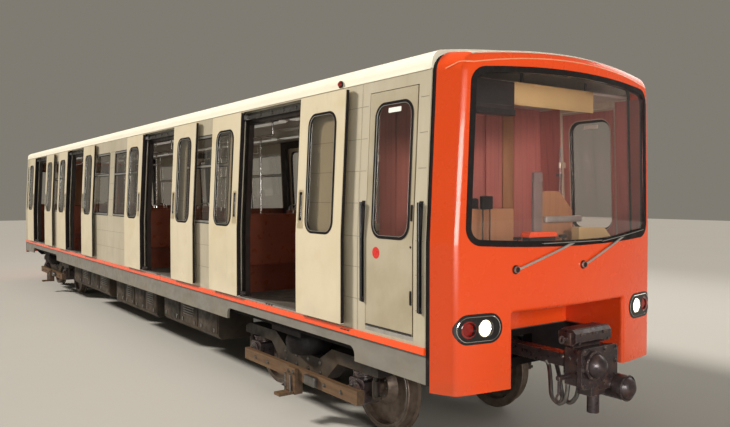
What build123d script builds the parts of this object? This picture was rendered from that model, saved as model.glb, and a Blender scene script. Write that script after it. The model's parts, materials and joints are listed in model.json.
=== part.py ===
from build123d import *
import os
from math import atan2, degrees, sqrt

# Metro motor car at full size, in millimetres: X towards the cab end, Y towards the car's left, Z up.
# Heights in this source are measured from the tops of the rails; each sub-part is lifted by the flange
# depth as it is saved, so that the origin lies on the centreline at mid-length, level with the flange tips.
# The right side (-Y) faces the platform, with its doors open; the left side has its doors closed.

FLANGE_DEPTH = 28
FIT = 0.3

# Carbody shell
SEAM_X = 8350
SEAL_WIDTH = 45
BODY_END_X = SEAM_X - SEAL_WIDTH / 2
MASK_START_X = SEAM_X + SEAL_WIDTH / 2
HALF_WIDTH = 1350
WAIST_Z = 1900
EAVE_Z = 3262
EAVE_LEAN = 68
WALL = 65
SHOULDER_Z = 3398
SHOULDER_LEAN = 5
SHOULDER_HALF_WIDTH = HALF_WIDTH - EAVE_LEAN - SHOULDER_LEAN
SHOULDER_RADIUS = 110
CROWN_Z = 3500
ROOF_THICKNESS = 45
FLOOR_Z = 1105
SILL_TOP_Z = 1090
SILL_BOTTOM_Z = 1035
SILL_PROUD = 12
SKIRT_BOTTOM_Z = 800
SKIRT_ARCH_Z = 930
SKIRT_ARCH_LENGTH = 2700
SKIRT_ARCH_RADIUS = 80
SKIRT_INSET = 12
SKIRT_THICKNESS = 30
CEILING_Z = 3215
CEILING_THICKNESS = 25

# Passenger doorways: the leaf outlines and the openings they close
DOOR_FROM_CAB_SEAM = 2600
DOOR_FROM_REAR_SEAM = 2100
DOOR_PITCH = 3500
DOOR_X = (
    SEAM_X - DOOR_FROM_CAB_SEAM, SEAM_X - DOOR_FROM_CAB_SEAM - DOOR_PITCH,
    DOOR_FROM_REAR_SEAM + DOOR_PITCH - SEAM_X, DOOR_FROM_REAR_SEAM - SEAM_X,
)
DOORWAY_WIDTH = 1610
DOORWAY_TOP_Z = 3240
LEAF_BOTTOM_Z = 1120
LEAF_TOP_Z = 3230
LEAF_THICKNESS = 38
LEAF_EDGE_GAP = 5
LEAF_MEETING_GAP = 2
LEAF_WIDTH = DOORWAY_WIDTH / 2 - LEAF_EDGE_GAP - LEAF_MEETING_GAP
LEAF_OPEN_EDGE = 680
LEAF_PROUD = 60
LEAF_WINDOW_WIDTH = 480
LEAF_WINDOW_FROM_EDGE = 175
WINDOW_BOTTOM_Z = 1920
WINDOW_TOP_Z = 3050
WINDOW_RADIUS = 120
GLASS_THICKNESS = 8
GLASS_INSET = 9
HANDLE_FROM_EDGE = 78
HANDLE_WIDTH = 56
HANDLE_BOTTOM_Z = 2030
HANDLE_TOP_Z = 2310
HANDLE_DEPTH = 14
PORTAL_WIDTH = 1700
PORTAL_CLEAR_WIDTH = 1400
PORTAL_CLEAR_TOP_Z = 3100
PORTAL_DEPTH = 60
RAIL_BAR_BOTTOM_Z = 3150
RAIL_BAR_TOP_Z = 3200
RAIL_BAR_DEPTH = 20
RAIL_BAR_LENGTH = 1560
ARM_FROM_CENTRE = 712
ARM_WIDTH = 44
GUIDE_BOTTOM_Z = 1126
GUIDE_TOP_Z = 1160
THRESHOLD_THICKNESS = 20

# Fixed side windows: one between the doors of a pair, two at mid-length and a short one at the rear
PAIR_WINDOW_WIDTH = 1360
MIDDLE_PIER = 320
DOOR_PIER = 175
MIDDLE_X = (DOOR_X[1] + DOOR_X[2]) / 2
MIDDLE_WINDOW_WIDTH = (DOOR_X[1] - DOOR_X[2] - DOORWAY_WIDTH - MIDDLE_PIER) / 2 - DOOR_PIER
MIDDLE_WINDOW_SHIFT = (MIDDLE_WINDOW_WIDTH + MIDDLE_PIER) / 2
REAR_WINDOW_FROM_DOOR = 1425
REAR_SIDE_WINDOW_X = DOOR_X[3] - REAR_WINDOW_FROM_DOOR
REAR_SIDE_WINDOW_WIDTH = 950
# (middle along X, width)
SIDE_WINDOWS = (
    ((DOOR_X[0] + DOOR_X[1]) / 2, PAIR_WINDOW_WIDTH), (MIDDLE_X + MIDDLE_WINDOW_SHIFT, MIDDLE_WINDOW_WIDTH),
    (MIDDLE_X - MIDDLE_WINDOW_SHIFT, MIDDLE_WINDOW_WIDTH), ((DOOR_X[2] + DOOR_X[3]) / 2, PAIR_WINDOW_WIDTH),
    (REAR_SIDE_WINDOW_X, REAR_SIDE_WINDOW_WIDTH),
)
SIDE_WINDOW_BOTTOM_Z = 1930
SIDE_WINDOW_TOP_Z = 3040
SIDE_WINDOW_RADIUS = 30
FRAME_BAR = 32
FRAME_THICKNESS = 50
FRAME_PROUD = 4
TRANSOM_Z = 2650

# Cab side doors, hinged at their rear edge and opening inwards
CAB_DOOR_REAR_X = SEAM_X - 815
CAB_DOOR_WIDTH = 635
CAB_DOOR_BOTTOM_Z = 1157
CAB_DOOR_TOP_Z = 3150
CAB_DOOR_THICKNESS = 42
CAB_DOOR_GAP = 6
CAB_DOOR_SWING_GAP = 16
CAB_SILL_THICKNESS = 34
CAB_WINDOW_FROM_REAR = 85
CAB_WINDOW_WIDTH = 500
CAB_HINGE_DEPTH = 138
CAB_HINGE_LEVELS = (1400, 2000, 2600)
HINGE_PIN_RADIUS = 9
HINGE_KNUCKLE_RADIUS = 15
HINGE_KNUCKLE_HEIGHT = 60
HINGE_POST_TOP_Z = 2790
GRAB_BAR_RADIUS = 12
GRAB_BAR_BOTTOM_Z = 1360
GRAB_BAR_TOP_Z = 2220
GRAB_BAR_STANDOFF = 45
GRAB_BAR_FROM_SEAM = (860, 83)

# Moulded end masks
MASK_THICKNESS = 60
MASK_TAPER_LENGTH = 249
MASK_TAPER = 113
MASK_REACH = 350
MASK_SAG = 125
MASK_SAG_HALF_WIDTH = HALF_WIDTH - MASK_TAPER
FACE_RADIUS = (MASK_SAG_HALF_WIDTH ** 2 + MASK_SAG ** 2) / (2 * MASK_SAG)
MASK_BOTTOM_Z = 750
MASK_CROWN_Z = 3470
MASK_CROWN_FALL = 20
MASK_SHOULDER_Z = 3375
MASK_SHOULDER_RADIUS = 170
MASK_CORNER_RADIUS = 80
MASK_SHELF_Z = 1060
MASK_SHELF_THICKNESS = 30
SEAL_INSET = 10
SEAL_DEPTH = 45

# Windscreen, and the two windows of the rear mask
SCREEN_FROM_CORNER = 64
SCREEN_HALF_WIDTH = MASK_SAG_HALF_WIDTH - SCREEN_FROM_CORNER
SCREEN_LEAN = 50
SCREEN_BOTTOM_Z = 1895
SCREEN_BOTTOM_DIP = 40
SCREEN_TOP_Z = 3250
SCREEN_TOP_RISE = 55
SCREEN_RADIUS = 140
SCREEN_SEAL = 46
SCREEN_SEAL_PROUD = 6
SCREEN_SEAL_DEPTH = 46
SCREEN_GLASS_INSET = 6
SCREEN_GLASS_THICKNESS = 12
REAR_WINDOW_Y = 600
REAR_WINDOW_WIDTH = 760
REAR_WINDOW_HEIGHT = 1000
REAR_WINDOW_Z = 2480

# Lamps in the front mask
LAMP_Z = 1250
LAMP_WRAP = 25
LAMP_LENGTH = 432
LAMP_OUTER_Y = MASK_SAG_HALF_WIDTH + LAMP_WRAP
LAMP_INNER_Y = LAMP_OUTER_Y - LAMP_LENGTH
LAMP_HEIGHT = 233
LAMP_PROUD = 3
LAMP_HOUSING_DEPTH = 52
WHITE_LAMP_Y = LAMP_INNER_Y + 154
WHITE_LAMP_RADIUS = 72
RED_LAMP_Y = LAMP_INNER_Y + 300
RED_LAMP_RADIUS = 52
LENS_DEPTH = 40
LENS_THICKNESS = 26

# Wipers: (pivot Y, pivot Z, blade middle Y, blade middle Z, blade ends dY, blade ends dZ)
WIPERS = (
    (-697, 1690, -46, 1888, 370, 0),
    (89, 1690, 700, 1918, 360, 38),
)
WIPER_PIVOT_RADIUS = 26
WIPER_ARM_WIDTH = 18
WIPER_LIFT = 12

# Coupler pockets in both masks
POCKET_FROM_LAMP = 110
POCKET_HALF_WIDTH = LAMP_INNER_Y - POCKET_FROM_LAMP
POCKET_TOP_Z = 1350
POCKET_WALL = 20
POCKET_LIP_WALL = 40
POCKET_LIP_DEPTH = 165
POCKET_CORNER_RADIUS = 25
POCKET_LIP_RADIUS = 30
POCKET_BACK_X = SEAM_X - 330
POCKET_BACK_BOTTOM_Z = 1050
POCKET_STEP_X = SEAM_X - 90
POCKET_LIP_X = SEAM_X + MASK_REACH - POCKET_LIP_DEPTH

# Couplers: the shank turns on a pin behind the mask, and the head carries a dome and a guiding horn
COUPLER_Z = 880
COUPLER_PIVOT_X = SEAM_X - 600
COUPLER_PLATE_X = SEAM_X + 590
COUPLER_BODY_LENGTH = 260
COUPLER_BODY_HALF_WIDTH = 205
COUPLER_BODY_HEIGHT = 300
COUPLER_BODY_CHAMFER = 70
COUPLER_PLATE_THICKNESS = 40
COUPLER_PLATE_HALF_WIDTH = 235
COUPLER_PLATE_MARGIN = 14
COUPLER_PLATE_RADIUS = 40
COUPLER_DOME_Y = -100
COUPLER_DOME_RISE = 25
COUPLER_DOME_RADIUS = 98
COUPLER_DOME_LENGTH = 125
COUPLER_COLLAR_RADIUS = 118
COUPLER_COLLAR_LENGTH = 34
COUPLER_HORN_Y = 235
COUPLER_HORN_DROP = 195
COUPLER_HORN_RADIUS = 105
COUPLER_HORN_LENGTH = 160
COUPLER_HORN_BACK = 130
COUPLER_WEB_THICKNESS = 120
COUPLER_LEG_BACK = 65
COUPLER_LEG_RADIUS = 50
COUPLER_LEG_BOTTOM_Z = 490
COUPLER_LEG_FOOT = 90
HEAD_BOX_LENGTH = 175
HEAD_BOX_BACK = 50
HEAD_BOX_RIGHT_Y = -245
HEAD_BOX_LEFT_Y = 215
HEAD_BOX_HEIGHT = 130
HEAD_BOX_LIFT = 30
HEAD_BOX_CHAMFER = 30
SHANK_WIDTH = 120
SHANK_HEIGHT = 110
PIVOT_EYE_RADIUS = 78
PIVOT_PIN_RADIUS = 35
PIVOT_GAP = 0.3
ANCHOR_LENGTH = 250
ANCHOR_HALF_WIDTH = 150
ANCHOR_PLATE = 36

# Headstocks: cross plates behind the pockets that the shanks pass through
HEADSTOCK_X = SEAM_X - 400
HEADSTOCK_THICKNESS = 110
HEADSTOCK_HALF_WIDTH = 1150
HEADSTOCK_BOTTOM_Z = 700
HEADSTOCK_SLOT_HALF_WIDTH = 250
HEADSTOCK_SLOT_BOTTOM_Z = 775
HEADSTOCK_SLOT_TOP_Z = 975

# Underframe and what hangs from it
SOLE_BAR_WIDTH = 135
SOLE_BAR_INNER_Y = HALF_WIDTH - WALL - SOLE_BAR_WIDTH
SOLE_BAR_BOTTOM_Z = 880
BEARER_WIDTH = 110
BEARER_BOTTOM_Z = 905
BEARER_X = (-4060, -2900, -1740, -580, 580, 1740, 2900, 4060)
BOLSTER_LENGTH = 620
BOLSTER_BOTTOM_Z = 825
KINGPIN_RADIUS = 90
KINGPIN_BOTTOM_Z = 470

# Bogies and wheelsets
BOGIE_FROM_SEAM = 2350
BOGIE_X = (SEAM_X - BOGIE_FROM_SEAM, BOGIE_FROM_SEAM - SEAM_X)
WHEELBASE = 2100
WHEEL_RADIUS = 430
GAUGE_BACK_HALF = 680
WHEEL_WIDTH = 135
FLANGE_WIDTH = 32
RIM_THICKNESS = 62
WEB_THICKNESS = 26
HUB_RADIUS = 130
HUB_WIDTH = 160
AXLE_RADIUS = 82
JOURNAL_RADIUS = 62
JOURNAL_END_Y = 1085
AXLE_Z = WHEEL_RADIUS
SIDE_BEAM_Y = 1000
SIDE_BEAM_WIDTH = 170
SIDE_BEAM_LENGTH = 2720
SIDE_BEAM_TOP_Z = 735
SIDE_BEAM_END_BOTTOM_Z = 610
SIDE_BEAM_LOW_TOP_Z = 600
SIDE_BEAM_LOW_BOTTOM_Z = 405
SIDE_BEAM_LOW_HALF = 460
SIDE_BEAM_KNEE_HALF = 690
TRANSOM_HALF_LENGTH = 230
AIR_SPRING_RADIUS = 205
AIR_SPRING_BULGE = 45
AXLE_BOX_LENGTH = 250
AXLE_BOX_WIDTH = 150
AXLE_BOX_HALF_HEIGHT = 115
AXLE_BOX_CAP_RADIUS = 100
AXLE_BOX_CAP_DEPTH = 22
PRIMARY_SPRING_RADIUS = 88
MOTOR_RADIUS = 225
MOTOR_HALF_LENGTH = 500
MOTOR_CHAMFER = 25
MOTOR_NOSE_INSET = 20
MOTOR_FROM_AXLE = 430
GEAR_CASE_RADIUS = 165
GEAR_CASE_INNER_Y = 430
GEAR_CASE_WIDTH = 120
SHOE_BEAM_GAP = 5
SHOE_BEAM_WIDTH = 55
SHOE_BEAM_BOTTOM_Z = 330
SHOE_BEAM_HEIGHT = 130
SHOE_REACH_Y = 1395
SHOE_THICKNESS = 30
SHOE_HALF_LENGTH = 60
SHOE_BLOCK_HALF_LENGTH = 90
SHOE_BLOCK_PROUD = 40
SHOE_Z = 185

# Inside
PARTITION_FROM_SEAM = 1140
PARTITION_X = SEAM_X - PARTITION_FROM_SEAM
PARTITION_THICKNESS = 35
DESK_REAR_X = SEAM_X - 140
DESK_FRONT_X = SEAM_X + 180
DESK_SIDE_GAP = 230
DESK_HALF_WIDTH = HALF_WIDTH - MASK_THICKNESS - DESK_SIDE_GAP
DESK_REAR_Z = 1760
DESK_EDGE = 60
DESK_FRONT_Z = 1840
DRIVER_SEAT_X = SEAM_X - 490
DRIVER_SEAT_Y = -290
SEAT_WIDTH = 930
SEAT_WALL_GAP = 35
SEAT_OUTER_Y = HALF_WIDTH - WALL - SEAT_WALL_GAP
SEAT_DEPTH = 440
SEAT_HEIGHT = 430
SEAT_CUSHION = 90
SEAT_BACK = 65
SEAT_BACK_HEIGHT = 520
SEAT_RECLINE = 60
SEAT_DIP = 25
SEAT_BASE_FROM_BACK = (100, 340)
SEAT_FROM_DOOR = 880
SEAT_MIDDLE_GAP = 90
DRIVER_SEAT_WIDTH = 480
DRIVER_SEAT_POST_X = 240
DRIVER_SEAT_POST_RADIUS = 60
# (X of the seat's back, the way it faces)
SEATS = (
    (DOOR_X[0] - SEAT_FROM_DOOR, -1), (DOOR_X[1] + SEAT_FROM_DOOR, 1), (DOOR_X[1] - SEAT_FROM_DOOR, -1),
    (MIDDLE_X + SEAT_MIDDLE_GAP / 2, 1), (MIDDLE_X - SEAT_MIDDLE_GAP / 2, -1),
    (DOOR_X[2] + SEAT_FROM_DOOR, 1), (DOOR_X[2] - SEAT_FROM_DOOR, -1), (DOOR_X[3] + SEAT_FROM_DOOR, 1),
    (POCKET_WALL + FIT - POCKET_BACK_X, 1),
)
POLE_RADIUS = 17.5
POLE_Y = 340

# Cases under the floor: (rear X, front X, side, width, bottom)
CASE_FROM_BOGIE = 2100
CASE_END_X = BOGIE_X[0] - CASE_FROM_BOGIE
CASE_GAP = 30
FLOOR_CASES = (
    (1850, CASE_END_X, 1, 560, 330), (150, 1500, 1, 500, 380), (-1500, -150, 1, 560, 360),
    (-CASE_END_X, -1850, 1, 500, 330), (1850, CASE_END_X, -1, 500, 380), (-700, 1500, -1, 560, 330),
    (-CASE_END_X, -1150, -1, 500, 360),
)
CASE_CHAMFER = 45
# Air tanks along the centreline: (rear X, front X)
AIR_TANKS = ((650, 2850), (-2850, -650))
TANK_RADIUS = 170
TANK_Z = 640


def half_width(z):
    """Outer half width of the body side: upright to the waist, then leaning in towards the eaves."""
    return HALF_WIDTH - EAVE_LEAN * max(0, z - WAIST_Z) / (EAVE_Z - WAIST_Z)


def block(x0, x1, y0, y1, z0, z1):
    return Pos((x0 + x1) / 2, (y0 + y1) / 2, (z0 + z1) / 2) * Box(x1 - x0, y1 - y0, z1 - z0)


def along_x(section, x0, x1):
    return extrude(Plane.YZ.offset(x0) * section, x1 - x0, dir=(1, 0, 0))


def along_y(section, y0, y1):
    return extrude(Pos(0, y0, 0) * (Plane.XZ * section), y1 - y0, dir=(0, 1, 0))


def along_z(section, z0, z1):
    return extrude(Pos(0, 0, z0) * section, z1 - z0, dir=(0, 0, 1))


def rod_x(x0, x1, y, z, radius):
    return Pos((x0 + x1) / 2, y, z) * Rot(0, 90, 0) * Cylinder(radius, x1 - x0)


def rod_y(x, y0, y1, z, radius):
    return Pos(x, (y0 + y1) / 2, z) * Rot(90, 0, 0) * Cylinder(radius, y1 - y0)


def rod_z(x, y, z0, z1, radius):
    return Pos(x, y, (z0 + z1) / 2) * Cylinder(radius, z1 - z0)


def mirrored(part):
    return mirror(part, about=Plane.XZ)


def turned_round(part):
    return Rot(0, 0, 180) * part


def save(name, *parts):
    """Writes one sub-part, made of one solid or of several that don't touch."""
    solids = [solid for part in parts for solid in part.solids()]
    shape = solids[0] if len(solids) == 1 else Compound(solids)
    export_step(Pos(0, 0, FLANGE_DEPTH) * shape, f"parts/{name}.step")


def side_slab(x0, x1, z0, z1, inset, thickness):
    """A layer of the left body side, following its lean, inset from its outer surface."""
    levels = [z0, WAIST_Z, z1] if z0 < WAIST_Z < z1 else [z0, z1]
    outer = [(half_width(z) - inset, z) for z in levels]
    inner = [(y - thickness, z) for y, z in reversed(outer)]
    return along_x(Polygon(*outer, *inner, align=None), x0, x1)


def side_hole(x0, x1, z0, z1, radius):
    """A round-cornered tool through the left body side."""
    section = Pos((x0 + x1) / 2, (z0 + z1) / 2) * RectangleRounded(x1 - x0, z1 - z0, radius)
    return along_y(section, HALF_WIDTH - 2 * EAVE_LEAN - 3 * WALL, HALF_WIDTH + 2 * LEAF_PROUD)


def arch(half, foot_z, shoulder_half, shoulder_z, crown_z, radius):
    """Front-view outline of the body: straight sides to the waist, leaning sides, rounded shoulders, arched top."""
    bend_z = max(foot_z, WAIST_Z)
    with BuildSketch() as outline:
        with BuildLine():
            Polyline((-shoulder_half, shoulder_z), (-half, bend_z), (-half, foot_z),
                     (half, foot_z), (half, bend_z), (shoulder_half, shoulder_z))
            ThreePointArc((shoulder_half, shoulder_z), (0, crown_z), (-shoulder_half, shoulder_z))
        make_face()
        fillet(outline.vertices().sort_by(Axis.Y)[-2:], radius)
    return outline.sketch


def roof_section(inset):
    """The roof's outline above the eaves, moved inwards by the inset."""
    eave_half = half_width(EAVE_Z) - inset
    shoulder_half = SHOULDER_HALF_WIDTH - inset
    with BuildSketch() as outline:
        with BuildLine():
            Polyline((-shoulder_half, SHOULDER_Z - inset), (-eave_half, EAVE_Z),
                     (eave_half, EAVE_Z), (shoulder_half, SHOULDER_Z - inset))
            ThreePointArc((shoulder_half, SHOULDER_Z - inset), (0, CROWN_Z - inset),
                          (-shoulder_half, SHOULDER_Z - inset))
        make_face()
        fillet(outline.vertices().sort_by(Axis.Y)[-2:], SHOULDER_RADIUS - inset)
    return outline.sketch


def mask_section(x, inset, foot_z):
    """The mask's front-view outline at one X: it narrows and falls from the seam to the face."""
    share = (x - SEAM_X) / MASK_TAPER_LENGTH
    half = HALF_WIDTH - MASK_TAPER * share - inset
    lean = EAVE_LEAN * (MASK_SHOULDER_Z - WAIST_Z) / (EAVE_Z - WAIST_Z)
    crown_z = MASK_CROWN_Z - MASK_CROWN_FALL * share - inset
    shoulder_z = MASK_SHOULDER_Z - MASK_CROWN_FALL * share - inset
    return arch(half, foot_z, half - lean, shoulder_z, crown_z, MASK_SHOULDER_RADIUS - inset)


def mask_block(inset, foot_z=MASK_BOTTOM_Z, start_x=MASK_START_X):
    """The solid mask, a tapering loft cut to the curved face, or the same moved inwards by the inset."""
    end_x = SEAM_X + MASK_REACH + WALL
    sections = [Plane.YZ.offset(x) * mask_section(x, inset, foot_z) for x in (start_x, end_x)]
    return loft(sections, ruled=True) & face_region(inset, start_x)


def rounded_mask(proud):
    """The solid mask with its vertical and upper face edges rounded, or the same a little proud."""
    shell = mask_block(-proud)
    edges = shell.edges().filter_by(lambda edge: edge.center().Z > MASK_BOTTOM_Z + 1 and is_on_face(edge, -proud))
    return fillet(edges, MASK_CORNER_RADIUS + proud)


def is_on_face(edge, inset):
    """True for an edge that bounds the curved face."""
    ends = [edge.position_at(share) for share in (0, 0.5, 1)]
    return all(abs(point.X - face_arc_x(point.Y, inset)) < 1 for point in ends)


def face_arc_x(y, inset):
    """X of the curved face at a distance y from the centreline."""
    return SEAM_X + MASK_REACH - FACE_RADIUS + sqrt((FACE_RADIUS - inset) ** 2 - y ** 2)


def face_region(inset, start_x):
    """Everything between a cross plane and the curved face, full height."""
    half = HALF_WIDTH + WALL
    with BuildSketch() as plan:
        with BuildLine():
            edge_x = face_arc_x(half, inset)
            Polyline((edge_x, half), (start_x, half), (start_x, -half), (edge_x, -half))
            ThreePointArc((edge_x, -half), (face_arc_x(0, inset), 0), (edge_x, half))
        make_face()
    return along_z(plan.sketch, 0, CROWN_Z + WALL)


def face_layer(inset, thickness):
    """A curved layer parallel to the mask's face."""
    start_x = SEAM_X - WALL
    return face_region(inset, start_x) - face_region(inset + thickness, start_x - 1)


def screen_outline(grow):
    """The windscreen's outline, leaning with the mask, with arched top and bottom."""
    foot, head = SCREEN_HALF_WIDTH + grow, SCREEN_HALF_WIDTH - SCREEN_LEAN + grow
    bottom, top = SCREEN_BOTTOM_Z - grow, SCREEN_TOP_Z + grow
    with BuildSketch() as outline:
        with BuildLine():
            Line((foot, bottom), (head, top))
            ThreePointArc((head, top), (0, top + SCREEN_TOP_RISE), (-head, top))
            Line((-head, top), (-foot, bottom))
            ThreePointArc((-foot, bottom), (0, bottom - SCREEN_BOTTOM_DIP), (foot, bottom))
        make_face()
        fillet(outline.vertices(), SCREEN_RADIUS + grow)
    return outline.sketch


def rear_window_outline(grow):
    """The two windows of the rear mask."""
    size = (REAR_WINDOW_WIDTH + 2 * grow, REAR_WINDOW_HEIGHT + 2 * grow)
    return [Pos(y, REAR_WINDOW_Z) * RectangleRounded(*size, WINDOW_RADIUS + grow)
            for y in (-REAR_WINDOW_Y, REAR_WINDOW_Y)]


def lamp_outline(grow):
    """A lamp unit's stadium outline on the left of the face."""
    length = LAMP_OUTER_Y - LAMP_INNER_Y + 2 * grow
    height = LAMP_HEIGHT + 2 * grow
    return Pos((LAMP_INNER_Y + LAMP_OUTER_Y) / 2, LAMP_Z) * SlotOverall(length, height)


def walls():
    """One body side: its doorways, cab doorway and windows are cut through the whole wall."""
    wall = side_slab(-BODY_END_X, BODY_END_X, SILL_TOP_Z, EAVE_Z, 0, WALL)
    for x in DOOR_X:
        wall -= block(x - DOORWAY_WIDTH / 2, x + DOORWAY_WIDTH / 2, HALF_WIDTH - 3 * WALL, HALF_WIDTH + WALL,
                      SILL_TOP_Z - WALL, DOORWAY_TOP_Z)
    wall -= block(CAB_DOOR_REAR_X - CAB_DOOR_GAP, CAB_DOOR_REAR_X + CAB_DOOR_WIDTH + CAB_DOOR_SWING_GAP,
                  HALF_WIDTH - 3 * WALL, HALF_WIDTH + WALL,
                  CAB_DOOR_BOTTOM_Z - CAB_DOOR_GAP - CAB_SILL_THICKNESS, CAB_DOOR_TOP_Z + CAB_DOOR_GAP)
    for x, width in SIDE_WINDOWS:
        wall -= side_hole(x - width / 2, x + width / 2, SIDE_WINDOW_BOTTOM_Z, SIDE_WINDOW_TOP_Z,
                          SIDE_WINDOW_RADIUS)
    save("side_wall_left", wall)
    save("side_wall_right", mirrored(wall))


def side_windows():
    """Aluminium frames with a transom, each holding a lower pane and an upper hopper pane."""
    frames, panes = [], []
    for x, width in SIDE_WINDOWS:
        x0, x1 = x - width / 2 + FIT, x + width / 2 - FIT
        z0, z1 = SIDE_WINDOW_BOTTOM_Z + FIT, SIDE_WINDOW_TOP_Z - FIT
        slab = side_slab(x0, x1, z0, z1, -FRAME_PROUD, FRAME_THICKNESS)
        frame = slab & side_hole(x0, x1, z0, z1, SIDE_WINDOW_RADIUS - FIT)
        for low, high in ((z0 + FRAME_BAR, TRANSOM_Z - FRAME_BAR / 2), (TRANSOM_Z + FRAME_BAR / 2, z1 - FRAME_BAR)):
            frame -= block(x0 + FRAME_BAR, x1 - FRAME_BAR, HALF_WIDTH - 3 * WALL, HALF_WIDTH + WALL, low, high)
            panes.append(side_slab(x0 + FRAME_BAR + FIT, x1 - FRAME_BAR - FIT, low + FIT, high - FIT,
                                   GLASS_INSET, GLASS_THICKNESS))
        frames.append(frame)
    save("window_frames", *frames, *map(mirrored, frames))
    save("side_glass", *panes, *map(mirrored, panes))


def leaf(edge_x, way):
    """A closed door leaf and its pane on the left side; the leaf runs from its leading edge one way."""
    far_x = edge_x + way * LEAF_WIDTH
    near = edge_x + way * LEAF_WINDOW_FROM_EDGE
    w0, w1 = sorted((near, near + way * LEAF_WINDOW_WIDTH))
    panel = side_slab(min(edge_x, far_x), max(edge_x, far_x), LEAF_BOTTOM_Z, LEAF_TOP_Z, 0, LEAF_THICKNESS)
    panel -= side_hole(w0, w1, WINDOW_BOTTOM_Z, WINDOW_TOP_Z, WINDOW_RADIUS)
    handle_x = edge_x + way * HANDLE_FROM_EDGE
    grip = side_slab(handle_x - HANDLE_WIDTH / 2, handle_x + HANDLE_WIDTH / 2, HANDLE_BOTTOM_Z, HANDLE_TOP_Z,
                     -WALL, WALL + HANDLE_DEPTH)
    return panel - grip, door_pane(w0, w1)


def door_pane(x0, x1):
    """The rubber-edged pane that fills a round-cornered hole of the left side."""
    pane = side_slab(x0, x1, WINDOW_BOTTOM_Z, WINDOW_TOP_Z, GLASS_INSET, GLASS_THICKNESS)
    return pane & side_hole(x0 + FIT, x1 - FIT, WINDOW_BOTTOM_Z + FIT, WINDOW_TOP_Z - FIT, WINDOW_RADIUS - FIT)


def doors():
    """Left leaves lie closed and flush; right leaves stand open, moved out and along the side."""
    closed, opened = [], []
    for x in DOOR_X:
        for way in (-1, 1):
            closed.append(leaf(x + way * LEAF_MEETING_GAP, way))
            shut = leaf(x + way * LEAF_OPEN_EDGE, way)
            opened.append([mirrored(Pos(0, LEAF_PROUD, 0) * piece) for piece in shut])
    save("door_leaves_closed", *(pieces[0] for pieces in closed))
    save("door_leaves_open", *(pieces[0] for pieces in opened))
    save("door_glass", *(pieces[1] for pieces in closed + opened))


def door_surrounds():
    """Inner portals, threshold plates, and the rail and arms that carry the leaves."""
    portals, plates, gear = [], [], []
    for x in DOOR_X:
        portal = side_slab(x - PORTAL_WIDTH / 2, x + PORTAL_WIDTH / 2, FLOOR_Z, CEILING_Z, WALL, PORTAL_DEPTH)
        portal -= block(x - PORTAL_CLEAR_WIDTH / 2, x + PORTAL_CLEAR_WIDTH / 2, HALF_WIDTH - 4 * WALL, HALF_WIDTH,
                        FLOOR_Z - WALL, PORTAL_CLEAR_TOP_Z)
        portals.append(portal)
        plates.append(block(x - DOORWAY_WIDTH / 2 + FIT, x + DOORWAY_WIDTH / 2 - FIT, HALF_WIDTH - WALL, HALF_WIDTH,
                            SILL_TOP_Z, SILL_TOP_Z + THRESHOLD_THICKNESS))
    plates.append(block(CAB_DOOR_REAR_X - CAB_DOOR_GAP + FIT,
                        CAB_DOOR_REAR_X + CAB_DOOR_WIDTH + CAB_DOOR_SWING_GAP - FIT,
                        HALF_WIDTH - WALL, HALF_WIDTH, CAB_DOOR_BOTTOM_Z - CAB_DOOR_GAP - CAB_SILL_THICKNESS,
                        CAB_DOOR_BOTTOM_Z - CAB_DOOR_GAP))
    for x in DOOR_X:
        closed_side = door_gear(x, LEAF_THICKNESS)
        open_side = door_gear(x, LEAF_THICKNESS - LEAF_PROUD)
        gear += closed_side + [mirrored(piece) for piece in open_side]
    save("door_portals", *portals, *map(mirrored, portals))
    save("thresholds", *plates, *map(mirrored, plates))
    save("door_gear", *gear)


def door_gear(x, leaf_back):
    """A doorway's rail with its two hanging arms, and the two guide arms at the foot of the leaves."""
    rail_inset = WALL - RAIL_BAR_DEPTH
    hanger = side_slab(x - RAIL_BAR_LENGTH / 2, x + RAIL_BAR_LENGTH / 2, RAIL_BAR_BOTTOM_Z, RAIL_BAR_TOP_Z,
                       rail_inset, RAIL_BAR_DEPTH)
    guides = []
    for way in (-1, 1):
        x0 = x + way * ARM_FROM_CENTRE - (ARM_WIDTH if way < 0 else 0)
        hanger += side_slab(x0, x0 + ARM_WIDTH, RAIL_BAR_BOTTOM_Z, RAIL_BAR_TOP_Z, leaf_back,
                            rail_inset - leaf_back)
        guides.append(side_slab(x0, x0 + ARM_WIDTH, GUIDE_BOTTOM_Z, GUIDE_TOP_Z, leaf_back, WALL - leaf_back))
    return [hanger, *guides]


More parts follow.
